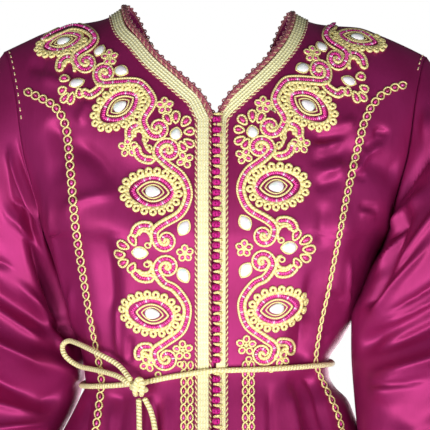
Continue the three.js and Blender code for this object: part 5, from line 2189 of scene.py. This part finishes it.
ROSETTES = (
    Rosette(-105.5, -38, 5, 5), Rosette(-50.5, -86, 5, 5), Rosette(-87, -127.5, 5, 6.2),
    Rosette(-30.5, -140, 4, 5), Rosette(-30.5, -233, 5, 5), Rosette(-32.5, -330, 5, 6.4),
    Rosette(-67.5, -343.5, 4, 4.6),
)
LINE_STEP = 1.2                # the step along a couched line, in millimetres
LOOSE_RINGS = ((-70, -119.7), (-66.2, -128), (-67.5, -225), (-68.5, -244), (-57.1, -354.3), (-35.1, -343.8))


@dataclass
class Couching:
    """The gold-cord scrolls, almonds and flowers with their beads and stones, on one front."""

    side: Side
    ground: Ground
    thick: float = 0.00195     # radius of the couched cord inside a curve
    thin: float = 0.00125      # and of the one outside it
    tendril_cord: float = 0.0019
    bead: float = 0.00115
    bead_pitch: float = 0.0021
    pale_beads: float = 0.16   # the share of beads painted almost white, as painted glints
    band: float = 0.0036       # from a scroll's beads out to its cords
    outlines: tuple[Point, ...] = ((11.0, 7.0, 0.0008), (16.2, 10.0, 0.0011))
    rim: Spot = (24.4, 17.0)   # half the length and width of an almond's flat cord
    almond_core: Spot = (20.8, 14.2)
    almond_ring: Spot = (28.8, 20.8)
    almond_stone: Spot = (7.8, 5.6)
    rim_cord: float = 0.0022
    loops: int = 18
    loop_half: Spot = (0.0029, 0.0026)
    loop_cord: float = 0.0017
    stone_rise: float = 0.0034
    drop_rise: float = 0.0032
    drop_foot: Spot = (0.9, 0.7)    # how far out from a drop the cord round its foot lies
    drop_cord: float = 0.0009
    petal_cord: float = 0.00125
    petal_waist: float = 0.35  # how much a petal narrows towards the stone
    rosette_half: Spot = (0.0033, 0.0029)
    rosette_cord: float = 0.00115
    cords: Gathered = field(default_factory=Gathered)
    beads: Gathered = field(default_factory=Gathered)
    stones: Gathered = field(default_factory=Gathered)
    placed: int = 0

    def _on(self, flat: Sequence[Sequence[float]] | Array, lift: float = 0.0) -> tuple[Array, Array]:
        """Places on this front for a motif's own millimetres on the wearer's right.

        Args:
            flat: the motif's places.
            lift: how far off the cloth.

        Returns:
            The places, and the cloth's directions there.
        """
        places = np.array(flat, dtype=float)
        if self.side is Side.LEFT:
            x, z = places.T
            places = np.stack([-x + SHIFT_X(z), z + SHIFT_Z(z)], axis=1)
        return self.ground.seen(places * MM, lift)

    def _patch(self, spec: Almond | Drop, flat: Array, lift: float) -> tuple[Array, Array]:
        """Places of a motif laid true to size on the cloth round its middle.

        Args:
            spec: the motif.
            flat: its own places, in millimetres.
            lift: how far off the cloth.

        Returns:
            The places, and the cloth's directions there.
        """
        middle, up = self._on([(spec.x, spec.z)])
        hand = -self.side.value
        out = up[0]
        across = unit(np.array((1.0, 0.0, 0.0)) - out * out[0])
        rise = np.cross(out, across)
        rise = rise * (1 if rise[2] > 0 else -1)
        a, b = spun(flat * (hand, 1), math.radians(hand * spec.tilt)).T
        raw = middle[0] + (a[:, None] * across + b[:, None] * rise) * MM + out * 0.03
        met, ups = self.ground.under(raw, -out)
        return met + ups * lift, ups

    def _beads(self, path: Array, ups: Array) -> None:
        """Beads side by side along a path, each lying across it.

        Args:
            path: places along it.
            ups: the cloth's direction at each.
        """
        joined = evened(path, self.bead_pitch)
        count = len(joined)
        index = np.linspace(0, len(path) - 1, count)
        lean = unit(np.stack([np.interp(index, np.arange(len(path)), column) for column in ups.T], axis=1))
        _, normal, across = framed(joined, lean)
        seed = np.arange(count) * 0.618 + self.placed * 0.37
        # beads within the glint share get the almost white tone, painted glints; the rest vary in colour at
        # random
        tone = np.where(seed % 1 < self.pale_beads, 0.95, 0.30 + 0.35 * np.sin(seed * 12.9) ** 2)
        self.placed += count
        self.beads.barrels(joined, across, normal, self.band * 0.50, self.bead, tone)

    def _ring(self, spec: Almond | Drop, half: Spot, radius: float, steps: int) -> None:
        """An oval cord round a motif's middle, pointed at its ends.

        Args:
            spec: the motif.
            half: half the ring's length and width, in millimetres.
            radius: the cord's radius.
            steps: how many steps it has.
        """
        path, ups = self._patch(spec, eye(half, np.linspace(0, CIRCLE, steps, endpoint=False)), radius * 0.8)
        self.cords.cord(path, radius, up=ups, closed=True)

    def _loop(self, middle: Array, up: Array, out: Array, half: Spot, thick: float,
              drop: float = 0.0) -> None:
        """A small oval loop of cord.

        Args:
            middle: its middle.
            up: the cloth's direction there.
            out: the direction of its length.
            half: half its length and half its width.
            thick: the cord's radius.
            drop: how much it narrows towards its foot, as a drop does.
        """
        side = np.cross(up, out)
        t = np.linspace(0, CIRCLE, 14, endpoint=False)[:, None]
        path = middle + out * half[0] * np.cos(t) + side * half[1] * np.sin(t) * (1 + drop * np.cos(t))
        self.cords.cord(path, thick, up=up, closed=True)

    def _ringlet(self, x: float, z: float, half: Spot, thick: float, lift: float) -> None:
        """A loose round loop of cord.

        Args:
            x: its middle across.
            z: its middle up.
            half: half its length and width.
            thick: the cord's radius.
            lift: how far off the cloth.
        """
        spots, ups = self._on([(x, z)], lift)
        self._loop(spots[0], ups[0], unit(np.cross(ups[0], (0.3, 0.0, 1.0))), half, thick)

    def almond(self, spec: Almond) -> None:
        """An almond: stone, two outlines, a band of beads across it, and a ring of loops.

        Args:
            spec: its place, turn and size.
        """
        size = spec.size
        for long, wide, radius in self.outlines:
            self._ring(spec, (long * size, wide * size), radius, 40)
        rim = egg(self.rim, np.linspace(0, CIRCLE, 48, endpoint=False)) * size
        path, ups = self._patch(spec, rim, 0.0007)
        self.cords.cord(path, self.rim_cord, up=ups, flat=0.7, closed=True)
        core = eye(self.almond_core, np.linspace(0, CIRCLE, 120)) * size
        self._beads(*self._patch(spec, core, self.bead * 0.9))
        oval = egg(self.almond_ring, np.linspace(0, CIRCLE, 400)) * size
        stops = evened(oval, reached(oval)[-1] / self.loops)[:-1]
        spots, ups = self._patch(spec, stops, 0.0014)
        ahead, _ = self._patch(spec, stops + unit(stops / np.array(self.almond_ring) ** 2), 0.0014)
        middle, _ = self._on([(spec.x, spec.z)])
        for spot, up, far in zip(spots, ups, ahead):
            if spot[2] < middle[0, 2] + spec.bare * MM:
                self._loop(spot, up, unit(far - spot), (self.loop_half[0] * size, self.loop_half[1] * size),
                           self.loop_cord)
        self._stone(spec, (self.almond_stone[0] * size, self.almond_stone[1] * size), self.stone_rise)

    def _stone(self, spec: Almond | Drop, half: Spot, rise: float) -> None:
        """A domed stone, rounder at one end.

        Args:
            spec: the motif it belongs to.
            half: half its length and width, in millimetres.
            rise: how high it stands.
        """
        t = np.linspace(0, CIRCLE, 17)
        shape = np.stack([half[0] * np.cos(t), half[1] * np.sin(t) * (1 - 0.25 * np.cos(t))], axis=1)
        rings = [self._patch(spec, shape * 0.0, 0.0002)[0]]
        for level in np.linspace(0, 1, 6):
            share = math.sqrt(1 - level**2 * 0.999) if level < 1 else 0.0
            spots, _ = self._patch(spec, shape * share, 0.0006 + rise * level)
            spots[-1] = spots[0]
            rings.append(spots)
        self.stones.lay(np.array(rings), np.zeros((len(rings), len(t), 2)))

    def drop(self, spec: Drop) -> None:
        """A teardrop stone with a cord round its foot.

        Args:
            spec: its place, turn and size.
        """
        long, wide = self.drop_foot
        self._stone(spec, (spec.long, spec.wide), self.drop_rise)
        self._ring(spec, (spec.long + long, spec.wide + wide), self.drop_cord, 24)

    def scroll(self, spec: Scroll) -> None:
        """A scroll: beads along its line between two cords, the thick one inside its curls.

        Args:
            spec: its curls and stem.
        """
        stem = np.array(spec.stem[spec.over if self.side is Side.LEFT else 0:], dtype=float)
        runs = [flowing(stem, 8)]
        if spec.head:
            runs.insert(0, curl(stem[0], np.array(spec.head), spec.head_turns)[::-1][:-1])
        runs.append(curl(stem[-1], np.array(spec.tail), spec.tail_turns)[1:])
        line = smoothed(evened(np.concatenate(runs), LINE_STEP), 4)
        lengths = [reached(run)[-1] for run in runs]
        at = np.linspace(0, sum(lengths), len(line))
        head = lengths[0] if spec.head else -20.0
        tail = sum(lengths) - lengths[-1]
        self._banded(line, 1 - eased((at - head) / 8) * eased((tail - at) / 8))

    def hook(self, stops: tuple[Spot, ...]) -> None:
        """A short branch with its own beads and cords."""
        line = evened(flowing(stops, 6), LINE_STEP)
        self._banded(line, np.full(len(line), 0.5), capped=True)

    def tendril(self, stops: tuple[Spot, ...]) -> None:
        """A branch of gold cord alone."""
        path, ups = self._on(evened(flowing(stops, 6), LINE_STEP), 0.0012)
        self.cords.cord(path, self.tendril_cord, up=ups)

    def _banded(self, line: Array, left: Array, capped: bool = False) -> None:
        """Beads along a line between two cords.

        Args:
            line: evenly spaced places along the beads' middle, in millimetres.
            left: 1 where the thick cord is on the left of the way along, 0 where it is on the right.
            capped: True where the cords meet round the line's end.
        """
        _, ups = self._on(line)
        self._beads(*self._on(line, self.bead * 0.9 + 0.0018 * eased((ups[:, 2] - 0.45) / 0.3)))
        along = unit(np.gradient(line, axis=0))
        side = np.stack([-along[:, 1], along[:, 0]], axis=1)
        at = np.arange(len(line)) * float(np.linalg.norm(line[1] - line[0]))
        taper = np.clip((at if capped else np.minimum(at, at[-1] - at)) / 4, 0.3, 1)
        runs = []
        for sign, share in ((1, left), (-1, 1 - left)):
            radius = self.thin + (self.thick - self.thin) * share
            gap = (self.band * 0.5 + radius * 0.92) / MM * taper
            runs.append((line + sign * side * gap[:, None], radius))
        if capped:
            (flat, radius), (other, last) = runs
            turn = np.linspace(math.pi / 2, -math.pi / 2, 8)[1:-1]
            cap = line[-1] + gap[-1] * ringed(turn, along[-1], side[-1])
            radii = np.concatenate([radius, np.full(len(turn), last[-1]), last[::-1]])
            runs = [(np.concatenate([flat, cap, other[::-1]]), radii)]
        for flat, radius in runs:
            edge, lean = self._on(flat)
            self.cords.cord(edge + lean * (radius * 0.7)[:, None], radius, up=lean)

    def _petal(self, x: float, z: float, turn: float, reach: float, lift: float) -> tuple[Array, ...]:
        """Where a looped petal lies.

        Args:
            x: its flower's middle across.
            z: its flower's middle up.
            turn: its direction from there.
            reach: its own middle's distance from there, in millimetres.
            lift: how far off the cloth.

        Returns:
            Its middle, the cloth's direction there and the direction of its length.
        """
        way = np.array((math.cos(turn), math.sin(turn)))
        middle = np.array((x, z)) + way * reach
        spots, ups = self._on([middle, middle + way], lift)
        return spots[0], ups[0], unit(spots[1] - spots[0])

    def flower(self, spec: Flower) -> None:
        """Petals of looped cord, each with a bead along its middle.

        Args:
            spec: its middle and petals.
        """
        for k, petal in enumerate(spec.petals):
            spot, up, out = self._petal(spec.x, spec.z, math.radians(petal.turn), petal.reach, 0.0012)
            long, wide = petal.long * MM, petal.wide * MM
            self._loop(spot, up, out, (long * 1.08, wide * 1.08), self.petal_cord, self.petal_waist)
            tone = 0.34 + 0.22 * math.sin(k * 3.1)
            middle = (spot + out * 0.0006)[None]
            self.beads.barrels(middle, out[None], up[None], long - 0.0018, wide - 0.0013, tone)

    def rosette(self, spec: Rosette) -> None:
        """A ring of small loops round a tiny one, with a bead in each.

        Args:
            spec: its middle, size and number of loops.
        """
        for k in range(spec.loops):
            turn = CIRCLE * (k + 0.3) / spec.loops
            spot, up, out = self._petal(spec.x, spec.z, turn, spec.reach, 0.0011)
            self._loop(spot, up, out, self.rosette_half, self.rosette_cord)
            tone = 0.45 + 0.3 * math.sin(k * 2.3 + spec.z)
            self.beads.barrels(spot[None], out[None], up[None], 0.0021, 0.0016, tone)
        self._ringlet(spec.x, spec.z, (0.0011, 0.0011), 0.0012, 0.0008)

    def build(self) -> None:
        """All motifs of this front, joined into one piece for each material."""
        motifs = ((self.almond, ALMONDS), (self.scroll, SCROLLS), (self.hook, HOOKS),
                  (self.tendril, TENDRILS), (self.flower, FLOWERS), (self.rosette, ROSETTES))
        for sew, specs in motifs:
            for spec in specs:
                sew(spec)
        for x, z in LOOSE_RINGS:
            self._ringlet(x, z, (0.0028, 0.0026), 0.0010, 0.0011)
        for spec in DROPS:
            self.drop(spec)
        tag = self.side.tag
        self.cords.piece(f"couching_{tag}", GoldThread(), [f"medallion_{tag}_{k}" for k in range(1, 5)])
        self.beads.piece(f"beads_{tag}", GlassBead())
        self.stones.piece(f"stones_{tag}", Pearl(), [f"stone_{tag}_{k}" for k in range(1, 12)])


def curl(start: Array, middle: Array, turns: float) -> Array:
    """A line that winds in from a start round a middle.

    Args:
        start: where it starts.
        middle: what it winds round.
        turns: how often; below 0 winds clockwise.

    Returns:
        Its places.
    """
    away = start - middle
    reach, heading = float(np.hypot(*away)), math.atan2(away[1], away[0])
    share = np.linspace(0, 1, round(abs(turns) * 20))
    turn = heading + CIRCLE * turns * share
    radius = reach * (1 - 0.80 * share**0.9)
    return middle + np.stack([radius * np.cos(turn), radius * np.sin(turn)], axis=1)


def eye(half: Spot, turn: Array) -> Array:
    """Places on an oval that is pointed at both ends like an eye, at turns round its middle."""
    height = np.sin(turn) * np.abs(np.sin(turn)) ** 0.7
    return np.stack([half[0] * np.cos(turn), half[1] * height], axis=1)


def egg(half: Spot, turn: Array) -> Array:
    """Places on an oval that is fuller towards its start, at turns round its middle."""
    along = half[0] * np.cos(turn) - 0.045 * half[0] * (1 + np.cos(2 * turn))
    return np.stack([along, half[1] * np.sin(turn)], axis=1)


@dataclass
class Chains:
    """Looped gold cords crossing down each front, a bead in every link."""

    grounds: dict[Side, Ground]
    line: dict[Side, Profile] = field(default_factory=lambda: by_side(CHAIN_LINE, "at"))
    half: dict[Side, Profile] = field(default_factory=lambda: {
        side: Profile(*zip(*rows)) for side, rows in CHAIN_HALF.items()})
    pitch: float = 0.0088
    cord: float = 0.00095
    foot: float = -0.997
    double_x: dict[Side, Spot] = field(
        default_factory=lambda: {Side.RIGHT: (0.0252, 0.0320), Side.LEFT: (0.0298, 0.0362)})
    double_top: float = -0.342
    double_half: float = 0.0026

    def _links(self, gold: Gathered, beads: Gathered, side: Side, flat: Array, half: Profile) -> None:
        """Two cords that cross and part again along a line, with a bead where they are apart.

        Args:
            gold: where the cords go.
            beads: where the beads go.
            side: whose front.
            flat: places along the line, across and up.
            half: half the links' width at each height.
        """
        line = evened(flat, 0.0011)
        wide = half(line[:, 1])
        along = headed(line, 6)
        across = np.stack([along[:, 1], -along[:, 0]], axis=1)
        length = np.arange(len(line)) * np.linalg.norm(line[1] - line[0])
        count = round(length[-1] / self.pitch)
        pitch = length[-1] / count
        phase = math.pi * length / pitch
        for sign in (-1, 1):
            swing = sign * wide * np.sign(np.sin(phase)) * np.abs(np.sin(phase)) ** 0.55
            over = self.cord * (1.1 + 0.7 * sign * np.cos(phase))
            spots, ups = self.grounds[side].drop(line + across * swing[:, None])
            gold.cord(spots + ups * over[:, None], self.cord, sides=5, up=ups)
        for k in range(count):
            at = (k + 0.5) * pitch
            middle, way = (np.array([[np.interp(at, length, column) for column in rows.T]])
                           for rows in (line, along))
            spots, ups = self.grounds[side].drop(np.concatenate([middle, middle + way * 0.001]), 0.0010)
            thick = float(np.interp(at, length, wide)) * 0.45
            tone = 0.4 + 0.3 * math.sin(k * 5.1)
            beads.barrels(spots[:1], unit(spots[1:] - spots[:1]), ups[:1], pitch * 0.24, thick, tone)

    def build(self, side: Side) -> None:
        """The chain from below the shoulder to the hem, and the close double chain below the belt.

        Args:
            side: whose front.
        """
        gold, beads = Gathered(), Gathered()
        heights = np.linspace(self.foot, -0.105, 90)
        run = np.stack([side.value * self.line[side](heights), heights], axis=1)
        top = np.array(CHAIN_TOP[side])[::-1]
        self._links(gold, beads, side, np.concatenate([run, top]), self.half[side])
        narrow = Profile((HEM_Z, 0.0), (self.double_half, self.double_half))
        for x in self.double_x[side]:
            heights = np.linspace(self.foot, self.double_top, 60)
            spread = x + 0.030 * eased((-0.42 - heights) / 0.6)
            self._links(gold, beads, side, np.stack([side.value * spread, heights], axis=1), narrow)
        gold.piece(f"chain_{side.tag}_couched", GoldThread(), (f"chain_{side.tag}",))
        beads.piece(f"chain_{side.tag}_beads", GlassBead())


# ---- belt ----
@dataclass
class Belt:
    """The gold rope round the waist, tied in a bow of one loop with two knotted ends."""

    form: BodyForm
    steps: int = 420
    rope_step: float = 0.0024
    clear: float = 0.001       # how far the band lies off the cloth
    front_clear: float = 0.0016                    # and how much further at the middle of the front
    hang_clear: float = 0.0022                     # how far a hanging end keeps off the cloth
    loop_route: tuple[Point, ...] = (
        (-85, -101, -361), (-98.7, -88, -346.5), (-119.5, -74, -335.8), (-139.5, -52, -327.6),
        (-151.7, -36, -325), (-158.4, -30, -330.7), (-154.8, -33, -341.4), (-140.1, -42, -350.7),
        (-119.1, -68, -353.5), (-98.6, -90, -358), (-87, -101, -365),
    )
    end_routes: tuple[tuple[str, tuple[Spot, ...]], ...] = (
        ("a", ((-77.5, -381), (-76.8, -400), (-76.4, -440), (-79, -490), (-83, -540), (-84, -590),
               (-86, -640))),
        ("b", ((-71.5, -380), (-65, -393), (-60.5, -413), (-57, -450), (-54, -500), (-53, -550),
               (-51, -604))),
    )
    bight: tuple[Point, ...] = (
        (-3.5, 4, -8.5), (-4.0, -3.5, -5.0), (-3.6, -5.8, 1.0), (-1.2, -5.2, 6.6), (2.2, -5.0, 6.2),
        (3.6, -5.8, 0.5), (3.0, -3.5, -6.0), (2.2, 3, -8.5),
    )
    wraps: tuple[Spot, ...] = ((0.25, 0.0020), (-0.15, -0.0028))    # their tilts and heights
    wrap_half: Spot = (0.0068, 0.0052)

    def band(self) -> None:
        """The rope round the waist."""
        level = np.array((WAIST_Z - ARMPIT_Z) / SKIRT)
        spots = []
        for angle in np.linspace(0, CIRCLE, self.steps, endpoint=False):
            side = Side.RIGHT if math.sin(angle) < 0 else Side.LEFT
            facing = Facing.FRONT if math.cos(angle) > 0 else Facing.BACK
            turn = math.asin(min(abs(math.sin(angle)), 1)) / (math.pi / 2)
            clear = ROPE_D / 2 + self.clear
            if facing is Facing.FRONT:
                clear += self.front_clear * float(eased((1 - turn) / 0.15))
            spot = self.form.point(side, facing, np.array(turn), level)
            normal = self.form.normal(side, facing, np.array(turn), level) * (1, 1, 0)
            spots.append(spot + unit(normal) * clear)
        made = Gathered()
        up = np.full((self.steps, 3), (0.0, 0.0, 1.0))
        made.cord(np.array(spots), ROPE_D / 2, sides=12, up=up, closed=True)
        made.piece("belt_band_rope", Rope(), ("belt_band",))

    def _free(self, node: str, path: Array) -> None:
        """A free stretch of rope.

        Args:
            node: the solid it stands for.
            path: places along it, from where it leaves the knot.
        """
        path = evened(path, self.rope_step)
        made = Gathered()
        made.cord(path, ROPE_D / 2, sides=12)
        piece = made.piece(f"{node}_rope", Rope(), (node,))

    def _wound(self, name: str, node: str, turns: Sequence[Array]) -> Piece:
        """A knot from several turns of rope.

        Args:
            name: its name.
            node: the solid it stands for.
            turns: the turns, round the solid's middle.

        Returns:
            The piece.
        """
        centre = np.array(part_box(node)).mean(0)
        made = Gathered()
        for path in turns:
            made.cord(centre + path, ROPE_D / 2, sides=10)
        return made.piece(name, Rope(), (node,))

    def knot(self) -> Piece:
        """The tied knot: an upright bight over two wraps of the band.

        Returns:
            The piece.
        """
        turn = np.linspace(-0.4, CIRCLE - 0.2, 30)
        x, y = self.wrap_half[0] * np.cos(turn), self.wrap_half[1] * np.sin(turn)
        wraps = [np.stack([x, y, z + tilt * x], axis=1) for tilt, z in self.wraps]
        return self._wound("belt_knot_tied", "belt_knot", [flowing(self.bight, 6) * MM, *wraps])

    def end_knot(self, letter: str) -> Piece:
        """The overhand knot in a hanging end, with its short tail below.

        Args:
            letter: which end.

        Returns:
            The piece.
        """
        t = np.linspace(0.12, CIRCLE - 0.12, 60)
        sway, climb = np.sin(t) + 2 * np.sin(2 * t), np.cos(t) - 2 * np.cos(2 * t)
        loop = np.stack([sway, -np.sin(3 * t), climb], axis=1)
        tail = np.array(((0.0006, 0.0, -0.0045), (0.0010, -0.0002, -0.0068)))
        turns = [loop * (0.00145, 0.0026, 0.0021), tail]
        return self._wound(f"belt_end_{letter}_tied", f"belt_end_{letter}_knot", turns)

    def _cloth(self, flat: Array) -> Array:
        """How far forward the right front's cloth lies.

        Args:
            flat: places given across and up.

        Returns:
            The cloth's y at each.
        """
        level = (flat[:, 1] - ARMPIT_Z) / SKIRT
        turn = self.form.turn_at(Side.RIGHT, np.abs(flat[:, 0]), level)
        return self.form.point(Side.RIGHT, Facing.FRONT, turn, level)[:, 1]

    def build(self) -> None:
        """All of the belt: its band, knot, loop and two ends, which hang clear of the cloth."""
        self.band()
        knot = self.knot()
        self._free("belt_loop", flowing(self.loop_route, 8) * MM)
        for letter, route in self.end_routes:
            flat = flowing(route, 10) * MM
            cloth = self._cloth(flat)
            y = cloth - (ROPE_D / 2 + 0.0030)
            for _ in range(40):
                y[1:-1] = np.minimum((y[:-2] + y[2:]) / 2, cloth[1:-1] - (ROPE_D / 2 + self.hang_clear))
            tied = self.end_knot(letter)
            self._free(f"belt_end_{letter}", np.insert(flat, 1, y, axis=1))


# ---- studio ----
@dataclass
class Lamp:
    """A soft square light aimed at the chest."""

    name: str
    at: Point
    size: float
    power: float


@dataclass
class Studio:
    """A pale floor, a white surround, five soft lights and the camera."""

    lamps: tuple[Lamp, ...] = (
        Lamp("key", (-1.5, -2.0, -0.95), 1.3, 45.0),
        Lamp("fill", (1.5, -2.0, -1.00), 1.2, 40.0),
        Lamp("front", (0.1, -2.7, -1.15), 1.1, 26.0),
        Lamp("behind_left", (1.2, 2.3, -0.70), 1.4, 32.0),
        Lamp("behind_right", (-1.4, 2.1, -0.80), 1.4, 24.0),
    )
    surround: float = 0.12
    floor_z: float = -1.36

    def camera(self) -> None:
        """Sets the camera."""
        scene = bpy.context.scene
        lens = bpy.data.cameras.new("camera")
        lens.sensor_width = 36
        lens.lens = 36 * (CHEST_Y - EYE.y) / FRAME_WIDTH
        camera = bpy.data.objects.new("camera", lens)
        camera.location = EYE
        camera.rotation_euler = (math.pi / 2, 0, 0)
        scene.collection.objects.link(camera)
        scene.camera = camera

    def build(self) -> None:
        """Sets the lights, the surround and the floor."""
        scene = bpy.context.scene
        scene.view_settings.view_transform = "Standard"
        for lamp in self.lamps:
            light = bpy.data.lights.new(lamp.name, "AREA")
            light.size, light.energy = lamp.size, lamp.power
            stand = bpy.data.objects.new(lamp.name, light)
            stand.location = lamp.at
            aim = Vector((0, CHEST_Y, -0.2)) - stand.location
            stand.rotation_euler = aim.to_track_quat("-Z", "Y").to_euler()
            scene.collection.objects.link(stand)
        self._surround(scene)
        self._floor(scene)

    def _surround(self, scene: bpy.types.Scene) -> None:
        """White where it is seen, and dimmer where it lights.

        Args:
            scene: the scene.
        """
        world = bpy.data.worlds.new("surround")
        world.use_nodes = True
        scene.world = world
        tree = world.node_tree
        tree.nodes.clear()
        seen = tree.nodes.new("ShaderNodeBackground")
        seen.inputs["Color"].default_value = (1, 1, 1, 1)
        light = tree.nodes.new("ShaderNodeBackground")
        light.inputs["Color"].default_value = (0.95, 0.97, 1, 1)
        light.inputs["Strength"].default_value = self.surround
        ray = tree.nodes.new("ShaderNodeLightPath")
        mix = tree.nodes.new("ShaderNodeMixShader")
        end = tree.nodes.new("ShaderNodeOutputWorld")
        tree.links.new(ray.outputs["Is Camera Ray"], mix.inputs[0])
        tree.links.new(light.outputs[0], mix.inputs[1])
        tree.links.new(seen.outputs[0], mix.inputs[2])
        tree.links.new(mix.outputs[0], end.inputs[0])

    def _floor(self, scene: bpy.types.Scene) -> None:
        """A plain pale floor well under the hem.

        Args:
            scene: the scene.
        """
        shape = bmesh.new()
        bmesh.ops.create_grid(shape, x_segments=1, y_segments=1, size=1.9)
        mesh = bpy.data.meshes.new("floor")
        shape.to_mesh(mesh)
        shape.free()
        made = Recipe("pale_floor")
        made.feed(Base_Color=made.mix(made.noise(2.0), (0.78, 0.78, 0.78), (0.86, 0.86, 0.86)), Roughness=0.8)
        mesh.materials.append(made.material)
        mesh.transform(Matrix.Translation((0, 0, self.floor_z)))
        floor = bpy.data.objects.new("floor", mesh)
        scene.collection.objects.link(floor)


def main() -> None:
    """Builds the garment piece by piece, then its studio."""
    logging.basicConfig(level=logging.INFO, format="%(message)s")
    studio = Studio()
    studio.camera()
    body = Body()
    Belt(body.form).build()
    grounds = {}
    for side in Side:
        grounds[side] = Ground(body.front(side))
    back = Ground(body.back())
    for side in Side:
        Sleeve(SleeveForm(side, body.form, SLEEVE_FOLDS[side])).build()
    edges = Edges(body.form, grounds)
    chains = Chains(grounds)
    for side in Side:
        edges.braid(side)
        edges.edging(side)
        Couching(side, grounds[side]).build()
        chains.build(side)
    edges.neck_cord()
    edges.stitches()
    edges.behind(back)
    buttons = Buttons(grounds)
    for name, heights in zip(("buttons_upper", "buttons_lower"), buttons.heights()):
        buttons.strand(name, heights)
    buttons.loops()
    studio.build()


if __name__ == "__main__":
    main()
